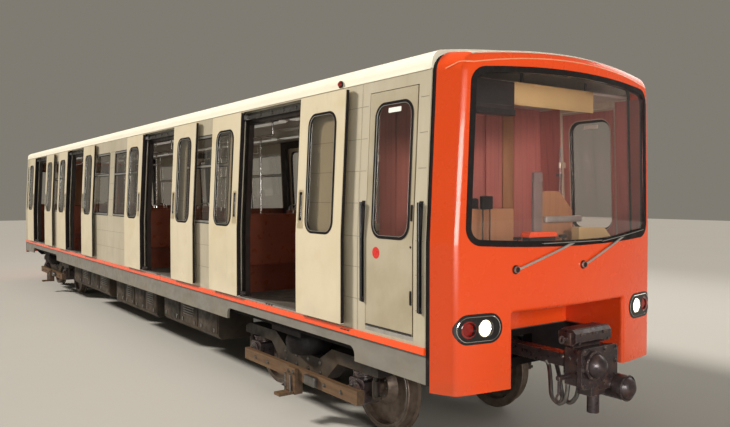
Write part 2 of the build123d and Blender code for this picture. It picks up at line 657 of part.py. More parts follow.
def cab_doors():
    """The hinged cab side doors, with knuckles that reach in to their pins, and their grab bars."""
    x0, x1 = CAB_DOOR_REAR_X, CAB_DOOR_REAR_X + CAB_DOOR_WIDTH
    panel = side_slab(x0, x1, CAB_DOOR_BOTTOM_Z, CAB_DOOR_TOP_Z, 0, CAB_DOOR_THICKNESS)
    w0 = x0 + CAB_WINDOW_FROM_REAR
    w1 = w0 + CAB_WINDOW_WIDTH
    panel -= side_hole(w0, w1, WINDOW_BOTTOM_Z, WINDOW_TOP_Z, WINDOW_RADIUS)
    hinge_y = HALF_WIDTH - CAB_HINGE_DEPTH
    post = rod_z(x0, hinge_y, FLOOR_Z, HINGE_POST_TOP_Z, HINGE_PIN_RADIUS)
    for z in CAB_HINGE_LEVELS:
        low, high = z - HINGE_KNUCKLE_HEIGHT / 2, z + HINGE_KNUCKLE_HEIGHT / 2
        back = half_width(high) - CAB_DOOR_THICKNESS / 2
        arm = block(x0, x0 + 2 * HINGE_KNUCKLE_RADIUS, hinge_y, back, low, high)
        knuckle = rod_z(x0, hinge_y, low, high, HINGE_KNUCKLE_RADIUS)
        panel += arm + knuckle
        collar_z = low - HINGE_KNUCKLE_HEIGHT
        lug = block(x0 - 3 * HINGE_KNUCKLE_RADIUS, x0, hinge_y - HINGE_PIN_RADIUS,
                    half_width(collar_z) - WALL, collar_z - HINGE_KNUCKLE_HEIGHT / 2, collar_z)
        lug &= block(x0 - 3 * HINGE_KNUCKLE_RADIUS, x0 - CAB_DOOR_GAP, 0, HALF_WIDTH, 0, CROWN_Z) + block(
            x0 - 3 * HINGE_KNUCKLE_RADIUS, x0, 0, hinge_y + HINGE_PIN_RADIUS, 0, CROWN_Z)
        post += lug
    panel -= rod_z(x0, hinge_y, FLOOR_Z, CROWN_Z, HINGE_PIN_RADIUS + FIT)
    pane = door_pane(w0, w1)
    save("cab_door_left", panel)
    save("cab_door_right", mirrored(panel))
    save("cab_door_glass_left", pane)
    save("cab_door_glass_right", mirrored(pane))
    bars = [grab_bar(SEAM_X - distance) for distance in GRAB_BAR_FROM_SEAM]
    save("cab_hinge_posts", post, mirrored(post))
    save("grab_bars", *bars, *map(mirrored, bars))


def grab_bar(x):
    """A bar beside the cab door, standing off the side on two feet."""
    y = half_width(GRAB_BAR_TOP_Z) + GRAB_BAR_STANDOFF - GRAB_BAR_RADIUS
    bar = rod_z(x, y, GRAB_BAR_BOTTOM_Z, GRAB_BAR_TOP_Z, GRAB_BAR_RADIUS)
    foot_radius = GRAB_BAR_RADIUS * 0.8
    for z in (GRAB_BAR_BOTTOM_Z + 2 * GRAB_BAR_RADIUS, GRAB_BAR_TOP_Z - 2 * GRAB_BAR_RADIUS):
        bar += rod_y(x, half_width(z - foot_radius), y, z, foot_radius)
    return bar


def roof_and_floor():
    """Roof shell, ceiling, floor, sills and skirts."""
    outer = along_x(roof_section(0), -BODY_END_X, BODY_END_X)
    inner = along_x(roof_section(ROOF_THICKNESS), -BODY_END_X - 1, BODY_END_X + 1)
    save("roof", outer - inner)
    ceiling_half = half_width(CEILING_Z + CEILING_THICKNESS) - WALL - FIT
    save("ceiling", block(-BODY_END_X, BODY_END_X, -ceiling_half, ceiling_half, CEILING_Z,
                          CEILING_Z + CEILING_THICKNESS))
    floor_half = HALF_WIDTH - WALL
    floor = block(-BODY_END_X, BODY_END_X, -floor_half, floor_half, SILL_BOTTOM_Z, FLOOR_Z)
    notch = block(POCKET_BACK_X - POCKET_WALL - FIT, SEAM_X, -POCKET_HALF_WIDTH - POCKET_WALL - FIT,
                  POCKET_HALF_WIDTH + POCKET_WALL + FIT, 0, CROWN_Z)
    save("floor", floor - notch - turned_round(notch))
    sill = side_slab(-BODY_END_X, BODY_END_X, SILL_BOTTOM_Z, SILL_TOP_Z, -SILL_PROUD, WALL + SILL_PROUD)
    skirt = side_slab(-BODY_END_X, BODY_END_X, SKIRT_BOTTOM_Z, SILL_BOTTOM_Z, SKIRT_INSET, SKIRT_THICKNESS)
    for x in BOGIE_X:
        skirt -= side_hole(x - SKIRT_ARCH_LENGTH / 2, x + SKIRT_ARCH_LENGTH / 2,
                           SKIRT_BOTTOM_Z - 2 * SKIRT_ARCH_RADIUS, SKIRT_ARCH_Z, SKIRT_ARCH_RADIUS)
    save("sill_strips", sill, mirrored(sill))
    save("skirts", skirt, mirrored(skirt))


def end_masks():
    """Both moulded masks, the rubber joints behind them and the pockets for the couplers."""
    shell = rounded_mask(0)
    cab_space = mask_block(MASK_THICKNESS, MASK_SHELF_Z, SEAM_X)
    below = mask_block(MASK_THICKNESS, 0, SEAM_X) & block(
        SEAM_X - 1, SEAM_X + 2 * MASK_REACH, -HALF_WIDTH, HALF_WIDTH, 0, MASK_SHELF_Z - MASK_SHELF_THICKNESS)
    shell = shell - cab_space - below
    shell -= pocket_outside(SEAM_X - 1, 0, FIT)
    front = shell - along_x(screen_outline(FIT), SEAM_X, SEAM_X + 2 * MASK_REACH)
    for outline in (lamp_outline(FIT), mirror(lamp_outline(FIT), about=Plane.YZ)):
        front -= along_x(outline, SEAM_X + MASK_TAPER_LENGTH / 3, SEAM_X + 2 * MASK_REACH)
    rear = shell
    for outline in rear_window_outline(FIT):
        rear -= along_x(outline, SEAM_X, SEAM_X + 2 * MASK_REACH)
    save("front_mask", front)
    save("rear_mask", turned_round(rear))
    ring = along_x(mask_section(SEAM_X, SEAL_INSET, SKIRT_BOTTOM_Z), BODY_END_X, MASK_START_X)
    ring -= along_x(mask_section(SEAM_X, SEAL_INSET + SEAL_DEPTH, 0), BODY_END_X - 1, MASK_START_X + 1)
    save("end_joints", ring, turned_round(ring))
    pocket = coupler_pocket()
    save("coupler_pockets", pocket, turned_round(pocket))


def pocket_outside(back_x, bottom_z, clearance):
    """What a coupler pocket takes out of the mask: thin walls, thicker behind the rounded lip."""
    outside = None
    for x0, wall in ((back_x, POCKET_WALL), (POCKET_LIP_X - clearance, POCKET_LIP_WALL)):
        half = POCKET_HALF_WIDTH + wall + clearance
        length = block(x0, SEAM_X + 2 * MASK_REACH, -half, half, bottom_z, POCKET_TOP_Z + wall + clearance)
        outside = length if outside is None else outside + length
    return outside


def coupler_pocket():
    """A pocket open to the front and below, its side walls stepped up behind the mask."""
    outer = pocket_outside(POCKET_BACK_X - POCKET_WALL, MASK_BOTTOM_Z, 0)
    inner = block(POCKET_BACK_X, SEAM_X + 3 * MASK_REACH, -POCKET_HALF_WIDTH, POCKET_HALF_WIDTH,
                  0, POCKET_TOP_Z)
    top_edges = inner.edges().filter_by(Axis.X).filter_by(lambda edge: edge.center().Z > MASK_BOTTOM_Z)
    inner = fillet(top_edges, POCKET_CORNER_RADIUS)
    step = block(POCKET_BACK_X - 2 * POCKET_WALL, POCKET_STEP_X, -HALF_WIDTH, HALF_WIDTH, 0,
                 POCKET_BACK_BOTTOM_Z)
    shell = (outer - inner - step) & face_region(0, POCKET_BACK_X - 2 * POCKET_WALL)
    lip = shell.edges().filter_by(lambda edge: is_on_face(edge, 0) and abs(edge.center().Y) < POCKET_HALF_WIDTH + 1
                                  and MASK_BOTTOM_Z + 1 < edge.center().Z < POCKET_TOP_Z + 1)
    return fillet(lip, POCKET_LIP_RADIUS)


def end_glazing():
    """Windscreen, rear windows and their black seals, curved with the face."""
    layer = face_layer(-SCREEN_SEAL_PROUD, SCREEN_SEAL_DEPTH + SCREEN_SEAL_PROUD)
    glass = face_layer(SCREEN_GLASS_INSET, SCREEN_GLASS_THICKNESS)
    span = (SEAM_X, SEAM_X + 2 * MASK_REACH)
    ring = along_x(screen_outline(0) - screen_outline(-SCREEN_SEAL), *span)
    rings, panes = [layer & ring], []
    save("windscreen", glass & along_x(screen_outline(-SCREEN_SEAL - FIT), *span))
    for outer, inner, pane in zip(rear_window_outline(0), rear_window_outline(-SCREEN_SEAL),
                                  rear_window_outline(-SCREEN_SEAL - FIT)):
        rings.append(turned_round(layer & along_x(outer - inner, *span)))
        panes.append(turned_round(glass & along_x(pane, *span)))
    save("end_window_seals", *rings)
    save("rear_glass", *panes)


def lamps():
    """Black lamp units that wrap the mask's corners, each with a white and a red lamp."""
    layer = rounded_mask(LAMP_PROUD) - mask_block(LAMP_HOUSING_DEPTH, 0, SEAM_X)
    unit = layer & along_x(lamp_outline(0), SEAM_X + MASK_TAPER_LENGTH / 3, SEAM_X + 2 * MASK_REACH)
    lenses = []
    for y, radius in ((WHITE_LAMP_Y, WHITE_LAMP_RADIUS), (RED_LAMP_Y, RED_LAMP_RADIUS)):
        back_x = face_arc_x(y, 0) - LENS_DEPTH
        unit -= rod_x(back_x, SEAM_X + 2 * MASK_REACH, y, LAMP_Z, radius)
        lenses.append(rod_x(back_x, back_x + LENS_THICKNESS, y, LAMP_Z, radius - FIT))
    white, red = lenses
    save("lamp_units", unit, mirrored(unit))
    save("head_lamps", white, mirrored(white))
    save("tail_lamps", red, mirrored(red))


def wipers():
    """Two wipers on the mask: a pivot boss, a thin arm and a blade that follows the curved glass."""
    parts = []
    for pivot_y, pivot_z, blade_y, blade_z, blade_dy, blade_dz in WIPERS:
        base_x = face_arc_x(pivot_y, 0)
        boss = rod_x(base_x - WIPER_LIFT, base_x + 2 * WIPER_LIFT, pivot_y, pivot_z, WIPER_PIVOT_RADIUS)
        boss -= face_region(-FIT, SEAM_X)
        stroke = Line((pivot_y, pivot_z), (blade_y, blade_z))
        arm = along_x(trace_band(stroke, WIPER_ARM_WIDTH), SEAM_X, SEAM_X + 2 * MASK_REACH)
        arm &= face_layer(-2 * WIPER_LIFT, WIPER_LIFT)
        ends = Line((blade_y - blade_dy, blade_z - blade_dz), (blade_y + blade_dy, blade_z + blade_dz))
        blade = along_x(trace_band(ends, WIPER_ARM_WIDTH), SEAM_X, SEAM_X + 2 * MASK_REACH)
        blade &= face_layer(-2 * WIPER_LIFT + FIT, 2 * WIPER_LIFT - SCREEN_SEAL_PROUD - 2 * FIT)
        parts.append(boss + arm + blade)
    save("wipers", *parts)


def trace_band(line, width):
    """A straight strip of the given width along a line."""
    run = line @ 1 - line @ 0
    middle = (line @ 0 + line @ 1) / 2
    return Pos(middle.X, middle.Y) * Rot(0, 0, degrees(atan2(run.Y, run.X))) * Rectangle(run.length + width, width)


def couplers():
    """Automatic couplers that swing about a pin behind the mask; the front one has an electrical box on top."""
    save("coupler_front", coupler())
    save("coupler_head_box", electrical_box())
    save("coupler_rear", turned_round(coupler()))


def dome(x, y, z, radius, length):
    """A forward-facing rod with a domed end; the length runs from its root to the tip."""
    end = Pos(x + length - radius, y, z) * Sphere(radius)
    return rod_x(x, x + length - radius, y, z, radius) + end


def coupler():
    """Shank with its pivot eye, and a head with a dome on its right and a lower horn on its left."""
    half_height = COUPLER_BODY_HEIGHT / 2
    z0, z1 = COUPLER_Z - half_height, COUPLER_Z + half_height
    plate_x = COUPLER_PLATE_X
    body_back = plate_x - COUPLER_BODY_LENGTH
    body = block(body_back, plate_x, -COUPLER_BODY_HALF_WIDTH, COUPLER_BODY_HALF_WIDTH, z0, z1)
    body = chamfer(body.faces().sort_by(Axis.X)[0].edges(), COUPLER_BODY_CHAMFER)
    plate = block(plate_x - COUPLER_PLATE_THICKNESS, plate_x, -COUPLER_PLATE_HALF_WIDTH, COUPLER_PLATE_HALF_WIDTH,
                  z0 - COUPLER_PLATE_MARGIN, z1 + COUPLER_PLATE_MARGIN)
    plate = fillet(plate.edges().filter_by(Axis.X), COUPLER_PLATE_RADIUS)
    shank = block(COUPLER_PIVOT_X, body_back + COUPLER_BODY_CHAMFER, -SHANK_WIDTH / 2, SHANK_WIDTH / 2,
                  COUPLER_Z - SHANK_HEIGHT / 2, COUPLER_Z + SHANK_HEIGHT / 2)
    eye = rod_z(COUPLER_PIVOT_X, 0, COUPLER_Z - SHANK_HEIGHT / 2, COUPLER_Z + SHANK_HEIGHT / 2, PIVOT_EYE_RADIUS)
    dome_z = COUPLER_Z + COUPLER_DOME_RISE
    collar = rod_x(plate_x, plate_x + COUPLER_COLLAR_LENGTH, COUPLER_DOME_Y, dome_z, COUPLER_COLLAR_RADIUS)
    nose = dome(plate_x - COUPLER_PLATE_THICKNESS / 2, COUPLER_DOME_Y, dome_z, COUPLER_DOME_RADIUS,
                COUPLER_DOME_LENGTH + COUPLER_PLATE_THICKNESS / 2)
    horn_z = COUPLER_Z - COUPLER_HORN_DROP
    horn_back = plate_x - COUPLER_HORN_BACK
    horn = dome(horn_back, COUPLER_HORN_Y, horn_z, COUPLER_HORN_RADIUS, COUPLER_HORN_BACK + COUPLER_HORN_LENGTH)
    web = block(horn_back, plate_x, 0, COUPLER_HORN_Y, horn_z, z0 + COUPLER_WEB_THICKNESS)
    leg_x = plate_x - COUPLER_LEG_BACK
    leg = rod_z(leg_x, 0, COUPLER_LEG_BOTTOM_Z, z0 + COUPLER_LEG_RADIUS, COUPLER_LEG_RADIUS)
    leg += block(leg_x - COUPLER_LEG_FOOT, leg_x + COUPLER_LEG_RADIUS, -COUPLER_LEG_FOOT, COUPLER_LEG_FOOT,
                 z0 - COUPLER_LEG_FOOT, z0 + COUPLER_LEG_RADIUS)
    whole = body + plate + shank + eye + collar + nose + horn + web + leg
    return whole - rod_z(COUPLER_PIVOT_X, 0, z0 - 1, z1 + 1, PIVOT_PIN_RADIUS + FIT)


def electrical_box():
    """The long box of contacts that stands on the head's top on a narrower foot."""
    low = COUPLER_Z + COUPLER_BODY_HEIGHT / 2
    box_z = low + HEAD_BOX_LIFT
    front_x = COUPLER_PLATE_X - HEAD_BOX_BACK
    back_x = front_x - HEAD_BOX_LENGTH
    box = block(back_x, front_x, HEAD_BOX_RIGHT_Y, HEAD_BOX_LEFT_Y, box_z, box_z + HEAD_BOX_HEIGHT)
    box = chamfer(box.edges().filter_by(Axis.Y), HEAD_BOX_CHAMFER)
    foot = block(back_x + HEAD_BOX_CHAMFER, front_x - HEAD_BOX_CHAMFER - COUPLER_PLATE_THICKNESS,
                 HEAD_BOX_RIGHT_Y + 2 * HEAD_BOX_CHAMFER, HEAD_BOX_LEFT_Y - 2 * HEAD_BOX_CHAMFER, low,
                 box_z + HEAD_BOX_CHAMFER)
    return box + foot


def underframe():
    """Sole bars, cross bearers, bolsters with kingpins and coupler anchors, all welded into one frame."""
    outer_y = HALF_WIDTH - WALL
    frame = block(-BODY_END_X, BODY_END_X, SOLE_BAR_INNER_Y, outer_y, SOLE_BAR_BOTTOM_Z, SILL_BOTTOM_Z)
    frame += block(-BODY_END_X, BODY_END_X, -outer_y, -SOLE_BAR_INNER_Y, SOLE_BAR_BOTTOM_Z, SILL_BOTTOM_Z)
    for x in BEARER_X:
        frame += block(x - BEARER_WIDTH / 2, x + BEARER_WIDTH / 2, -outer_y, outer_y, BEARER_BOTTOM_Z, SILL_BOTTOM_Z)
    for x in BOGIE_X:
        frame += block(x - BOLSTER_LENGTH / 2, x + BOLSTER_LENGTH / 2, -outer_y, outer_y, BOLSTER_BOTTOM_Z,
                       SILL_BOTTOM_Z)
        frame += rod_z(x, 0, KINGPIN_BOTTOM_Z, BOLSTER_BOTTOM_Z, KINGPIN_RADIUS)
    end = coupler_anchor() + headstock()
    end += block(BOGIE_X[0], HEADSTOCK_X, -ANCHOR_HALF_WIDTH, ANCHOR_HALF_WIDTH, HEADSTOCK_SLOT_TOP_Z, SILL_BOTTOM_Z)
    return frame + end + turned_round(end)


def headstock():
    """The deep cross plate behind the pocket, with the slot that the coupler's shank swings in."""
    x0, x1 = HEADSTOCK_X - HEADSTOCK_THICKNESS / 2, HEADSTOCK_X + HEADSTOCK_THICKNESS / 2
    plate = block(x0, x1, -HEADSTOCK_HALF_WIDTH, HEADSTOCK_HALF_WIDTH, HEADSTOCK_BOTTOM_Z, SILL_BOTTOM_Z)
    low_edges = plate.faces().sort_by(Axis.Z)[0].edges().filter_by(Axis.X)
    plate = chamfer(low_edges, HEADSTOCK_THICKNESS)
    return plate - block(x0 - 1, x1 + 1, -HEADSTOCK_SLOT_HALF_WIDTH, HEADSTOCK_SLOT_HALF_WIDTH,
                         HEADSTOCK_SLOT_BOTTOM_Z, HEADSTOCK_SLOT_TOP_Z)


def coupler_anchor():
    """The bracket with the pin that a coupler's eye turns on, joined to the bolster by a centre sill."""
    low = COUPLER_Z - SHANK_HEIGHT / 2 - PIVOT_GAP
    high = COUPLER_Z + SHANK_HEIGHT / 2 + PIVOT_GAP
    back_x = COUPLER_PIVOT_X - ANCHOR_LENGTH / 2 - ANCHOR_PLATE
    front_x = COUPLER_PIVOT_X + ANCHOR_LENGTH / 2 - ANCHOR_PLATE
    anchor = block(back_x, front_x, -ANCHOR_HALF_WIDTH, ANCHOR_HALF_WIDTH, low - ANCHOR_PLATE, SILL_BOTTOM_Z)
    anchor -= block(back_x + ANCHOR_PLATE, front_x + 1, -2 * ANCHOR_HALF_WIDTH, 2 * ANCHOR_HALF_WIDTH, low, high)
    return anchor + rod_z(COUPLER_PIVOT_X, 0, low - 1, high + 1, PIVOT_PIN_RADIUS)


def equipment():
    """Cases and air tanks hung under the bearers."""
    cases = []
    outer_y = SOLE_BAR_INNER_Y - CASE_GAP
    for x0, x1, side, width, bottom in FLOOR_CASES:
        y0, y1 = sorted((side * outer_y, side * (outer_y - width)))
        case = block(x0, x1, y0, y1, bottom, BEARER_BOTTOM_Z)
        low_edges = case.faces().sort_by(Axis.Z)[0].edges().filter_by(Axis.X)
        cases.append(chamfer(low_edges, CASE_CHAMFER))
    save("floor_cases", *cases)
    tanks = []
    for x0, x1 in AIR_TANKS:
        tank = rod_x(x0, x1, 0, TANK_Z, TANK_RADIUS)
        tank = fillet(tank.edges(), TANK_RADIUS / 2)
        for x in [x for x in BEARER_X if x0 < x < x1]:
            strap = rod_x(x - BEARER_WIDTH / 4, x + BEARER_WIDTH / 4, 0, TANK_Z, TANK_RADIUS + FRAME_PROUD)
            hanger = block(x - BEARER_WIDTH / 4, x + BEARER_WIDTH / 4, -TANK_RADIUS / 2, TANK_RADIUS / 2,
                           TANK_Z, BEARER_BOTTOM_Z)
            tank += strap + hanger
        tanks.append(tank)
    save("air_tanks", *tanks)


def wheelset(x):
    """An axle with its two flanged wheels, turned in one piece about Y."""
    back, front = GAUGE_BACK_HALF, GAUGE_BACK_HALF + WHEEL_WIDTH
    middle = (back + front) / 2
    tread_fall = (front - back - FLANGE_WIDTH) / 20
    inner = WHEEL_RADIUS - RIM_THICKNESS
    half_web, half_hub = WEB_THICKNESS / 2, HUB_WIDTH / 2
    # (distance along the axle, radius) from the middle of the axle out to its end
    profile = [
        (0, 0), (0, AXLE_RADIUS), (middle - half_hub, AXLE_RADIUS), (middle - half_hub, HUB_RADIUS),
        (middle - half_web, HUB_RADIUS + half_hub - half_web), (middle - half_web, inner - half_web),
        (back, inner), (back, WHEEL_RADIUS + FLANGE_DEPTH - FLANGE_WIDTH / 4),
        (back + FLANGE_WIDTH / 4, WHEEL_RADIUS + FLANGE_DEPTH), (back + FLANGE_WIDTH * 0.6, WHEEL_RADIUS + FLANGE_DEPTH),
        (back + FLANGE_WIDTH, WHEEL_RADIUS), (front - 8, WHEEL_RADIUS - tread_fall), (front, WHEEL_RADIUS - 12),
        (front, inner), (middle + half_web, inner - half_web),
        (middle + half_web, HUB_RADIUS + half_hub - half_web), (middle + half_hub, HUB_RADIUS),
        (middle + half_hub, JOURNAL_RADIUS), (JOURNAL_END_Y, JOURNAL_RADIUS), (JOURNAL_END_Y, 0),
    ]
    half = revolve(Polygon(*[(radius, y) for y, radius in profile], align=None), Axis.Y)
    whole = half + mirror(half, about=Plane.XZ)
    return Pos(x, 0, AXLE_Z) * whole


def bogie(x):
    """One bogie's frame with air springs, its axle boxes, motors and current collectors."""
    place = Pos(x, 0, 0)
    beams = side_beam() + mirrored(side_beam())
    transom = block(-TRANSOM_HALF_LENGTH, TRANSOM_HALF_LENGTH, -SIDE_BEAM_Y, SIDE_BEAM_Y,
                    SIDE_BEAM_LOW_BOTTOM_Z, SIDE_BEAM_LOW_TOP_Z)
    frame = beams + transom - rod_z(0, 0, 0, CROWN_Z, KINGPIN_RADIUS + FIT)
    springs = [air_spring(y) for y in (-SIDE_BEAM_Y, SIDE_BEAM_Y)]
    boxes = [axle_box(axle_x, side) for axle_x in (-WHEELBASE / 2, WHEELBASE / 2) for side in (-1, 1)]
    motors = [motor(), Rot(0, 0, 180) * motor()]
    shoes = [collector(), mirrored(collector())]
    return {
        "frame": [place * frame], "air_springs": [place * spring for spring in springs],
        "axle_boxes": [place * box for box in boxes], "motors": [place * unit for unit in motors],
        "collectors": [place * shoe for shoe in shoes],
    }


def side_beam():
    """A swan-necked box beam: high over the axle boxes, low under the air spring."""
    end = SIDE_BEAM_LENGTH / 2
    knee = (SIDE_BEAM_TOP_Z - SIDE_BEAM_LOW_TOP_Z) * 0.8
    outline = Polygon(
        (-end, SIDE_BEAM_END_BOTTOM_Z), (-SIDE_BEAM_KNEE_HALF, SIDE_BEAM_END_BOTTOM_Z),
        (-SIDE_BEAM_LOW_HALF, SIDE_BEAM_LOW_BOTTOM_Z), (SIDE_BEAM_LOW_HALF, SIDE_BEAM_LOW_BOTTOM_Z),
        (SIDE_BEAM_KNEE_HALF, SIDE_BEAM_END_BOTTOM_Z), (end, SIDE_BEAM_END_BOTTOM_Z), (end, SIDE_BEAM_TOP_Z - knee / 2),
        (end - knee, SIDE_BEAM_TOP_Z), (SIDE_BEAM_KNEE_HALF - knee, SIDE_BEAM_TOP_Z),
        (SIDE_BEAM_LOW_HALF - knee, SIDE_BEAM_LOW_TOP_Z), (knee - SIDE_BEAM_LOW_HALF, SIDE_BEAM_LOW_TOP_Z),
        (knee - SIDE_BEAM_KNEE_HALF, SIDE_BEAM_TOP_Z), (knee - end, SIDE_BEAM_TOP_Z), (-end, SIDE_BEAM_TOP_Z - knee / 2),
        align=None)
    return along_y(outline, SIDE_BEAM_Y - SIDE_BEAM_WIDTH / 2, SIDE_BEAM_Y + SIDE_BEAM_WIDTH / 2)


def air_spring(y):
    """A bellows that stands on the side beam and carries the bolster."""
    low, high = SIDE_BEAM_LOW_TOP_Z, BOLSTER_BOTTOM_Z - FIT
    with BuildSketch(Plane.XZ) as half:
        with BuildLine():
            Polyline((AIR_SPRING_RADIUS, high), (0, high), (0, low), (AIR_SPRING_RADIUS, low))
            ThreePointArc((AIR_SPRING_RADIUS, low), (AIR_SPRING_RADIUS + AIR_SPRING_BULGE, (low + high) / 2),
                          (AIR_SPRING_RADIUS, high))
        make_face()
    return Pos(0, y, 0) * revolve(half.sketch, Axis.Z)


def axle_box(x, side):
    """A bearing housing with its round cover, and the primary spring that stands on it."""
    inner_y = SIDE_BEAM_Y - AXLE_BOX_WIDTH / 2
    outer_y = JOURNAL_END_Y + FIT
    box = block(x - AXLE_BOX_LENGTH / 2, x + AXLE_BOX_LENGTH / 2, inner_y, outer_y + AXLE_BOX_CAP_DEPTH,
                AXLE_Z - AXLE_BOX_HALF_HEIGHT, AXLE_Z + AXLE_BOX_HALF_HEIGHT)
    box = chamfer(box.edges().filter_by(Axis.Y), AXLE_BOX_CAP_DEPTH)
    box += rod_y(x, outer_y, outer_y + 2 * AXLE_BOX_CAP_DEPTH, AXLE_Z, AXLE_BOX_CAP_RADIUS)
    box += rod_z(x, SIDE_BEAM_Y, AXLE_Z + AXLE_BOX_HALF_HEIGHT - FIT, SIDE_BEAM_END_BOTTOM_Z,
                 PRIMARY_SPRING_RADIUS)
    box -= rod_y(x, inner_y - 1, outer_y, AXLE_Z, JOURNAL_RADIUS + FIT)
    return box if side > 0 else mirrored(box)


def motor():
    """A traction motor across the bogie, its nose on the transom and its gear case round the axle."""
    axle_x = WHEELBASE / 2
    x = axle_x - MOTOR_FROM_AXLE
    body = rod_y(x, -MOTOR_HALF_LENGTH, MOTOR_HALF_LENGTH, AXLE_Z, MOTOR_RADIUS)
    body = chamfer(body.edges(), MOTOR_CHAMFER)
    body += block(TRANSOM_HALF_LENGTH, x, -HUB_RADIUS, HUB_RADIUS, SIDE_BEAM_LOW_BOTTOM_Z + MOTOR_NOSE_INSET,
                  SIDE_BEAM_LOW_TOP_Z - MOTOR_NOSE_INSET)
    y0, y1 = GEAR_CASE_INNER_Y, GEAR_CASE_INNER_Y + GEAR_CASE_WIDTH
    case = rod_y(axle_x, y0, y1, AXLE_Z, GEAR_CASE_RADIUS) + rod_y(x, y0, y1, AXLE_Z, GEAR_CASE_RADIUS)
    case += block(x, axle_x, y0, y1, AXLE_Z - GEAR_CASE_RADIUS, AXLE_Z + GEAR_CASE_RADIUS)
    return body + case - rod_y(axle_x, y0 - 1, y1 + 1, AXLE_Z, AXLE_RADIUS + FIT)


def collector():
    """The beam outside the axle boxes that carries a third rail shoe at its middle."""
    cap_y = JOURNAL_END_Y + FIT + AXLE_BOX_CAP_DEPTH
    reach = WHEELBASE / 2 + AXLE_BOX_LENGTH / 2
    z0, z1 = SHOE_BEAM_BOTTOM_Z, SHOE_BEAM_BOTTOM_Z + SHOE_BEAM_HEIGHT
    beam_back = cap_y + AXLE_BOX_CAP_DEPTH + SHOE_BEAM_GAP
    beam = block(-reach, reach, beam_back, beam_back + SHOE_BEAM_WIDTH, z0, z1)
    for axle_x in (-WHEELBASE / 2, WHEELBASE / 2):
        for side in (-1, 1):
            near, far = sorted((side * AXLE_BOX_CAP_RADIUS, side * AXLE_BOX_LENGTH / 2))
            beam += block(axle_x + near, axle_x + far, cap_y, beam_back, z0, z1)
    arm_y = beam_back + SHOE_BEAM_WIDTH
    beam += block(-SHOE_BLOCK_HALF_LENGTH, SHOE_BLOCK_HALF_LENGTH, beam_back, arm_y + SHOE_BLOCK_PROUD, SHOE_Z, z1)
    beam += block(-SHOE_HALF_LENGTH, SHOE_HALF_LENGTH, arm_y, SHOE_REACH_Y, SHOE_Z, SHOE_Z + SHOE_THICKNESS)
    return beam


def running_gear():
    underframe_part = underframe()
    save("underframe", underframe_part)
    numbered = 0
    for place, x in zip(("front", "rear"), BOGIE_X):
        for piece, solids in bogie(x).items():
            save(f"bogie_{piece}_{place}", *solids)
        for axle_x in (x + WHEELBASE / 2, x - WHEELBASE / 2):
            numbered += 1
            save(f"wheelset_{numbered}", wheelset(axle_x))


def inside():
    """Cab partition, desk and seat, passenger seats and poles."""
    wall_y = half_width(CEILING_Z) - WALL - FIT
    waist_y = HALF_WIDTH - WALL - FIT
    section = Polygon((-waist_y, FLOOR_Z), (waist_y, FLOOR_Z), (waist_y, WAIST_Z), (wall_y, CEILING_Z),
                      (-wall_y, CEILING_Z), (-waist_y, WAIST_Z), align=None)
    save("cab_partition", along_x(section, PARTITION_X, PARTITION_X + PARTITION_THICKNESS))
    bottom = POCKET_TOP_Z + POCKET_WALL
    desk = along_y(Polygon((DESK_REAR_X, bottom), (DESK_FRONT_X, bottom), (DESK_FRONT_X, DESK_FRONT_Z),
                           (DESK_REAR_X + DESK_EDGE, DESK_REAR_Z), (DESK_REAR_X, DESK_REAR_Z - DESK_EDGE), align=None),
                   -DESK_HALF_WIDTH, DESK_HALF_WIDTH)
    save("cab_desk", desk)
    driver = seat(DRIVER_SEAT_WIDTH) + rod_z(DRIVER_SEAT_POST_X, 0, FLOOR_Z, FLOOR_Z + SEAT_HEIGHT,
                                             DRIVER_SEAT_POST_RADIUS)
    save("driver_seat", Pos(DRIVER_SEAT_X - DRIVER_SEAT_POST_X, DRIVER_SEAT_Y, 0) * driver)
    seats = []
    for back_x, facing in SEATS:
        bench = seat(SEAT_WIDTH) + block(*SEAT_BASE_FROM_BACK, -SEAT_WIDTH / 2, SEAT_WIDTH / 2, FLOOR_Z,
                                         FLOOR_Z + SEAT_HEIGHT - SEAT_CUSHION)
        bench = Pos(back_x, SEAT_OUTER_Y - SEAT_WIDTH / 2, 0) * Rot(0, 0, 0 if facing > 0 else 180) * bench
        seats += [bench, mirrored(bench)]
    save("passenger_seats", *seats)
    save("grab_poles", *(rod_z(x, y, FLOOR_Z, CEILING_Z, POLE_RADIUS) for x in DOOR_X for y in (-POLE_Y, POLE_Y)))


def seat(width):
    """A cushion and a reclined back that face +X, the back's foot at X = 0."""
    side = Polygon((0, FLOOR_Z + SEAT_HEIGHT - SEAT_CUSHION), (SEAT_DEPTH, FLOOR_Z + SEAT_HEIGHT - SEAT_CUSHION),
                   (SEAT_DEPTH, FLOOR_Z + SEAT_HEIGHT), (SEAT_BACK + SEAT_RECLINE, FLOOR_Z + SEAT_HEIGHT - SEAT_DIP),
                   (SEAT_BACK, FLOOR_Z + SEAT_HEIGHT + SEAT_BACK_HEIGHT), (0, FLOOR_Z + SEAT_HEIGHT + SEAT_BACK_HEIGHT),
                   align=None)
    return along_y(side, -width / 2, width / 2)


os.makedirs("parts", exist_ok=True)
walls()
side_windows()
doors()
door_surrounds()
cab_doors()
roof_and_floor()
end_masks()
end_glazing()
lamps()
wipers()
couplers()
running_gear()
equipment()
inside()
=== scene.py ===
import json
import math
from itertools import product

import bmesh
import bpy
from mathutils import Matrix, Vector
from mathutils.bvhtree import BVHTree


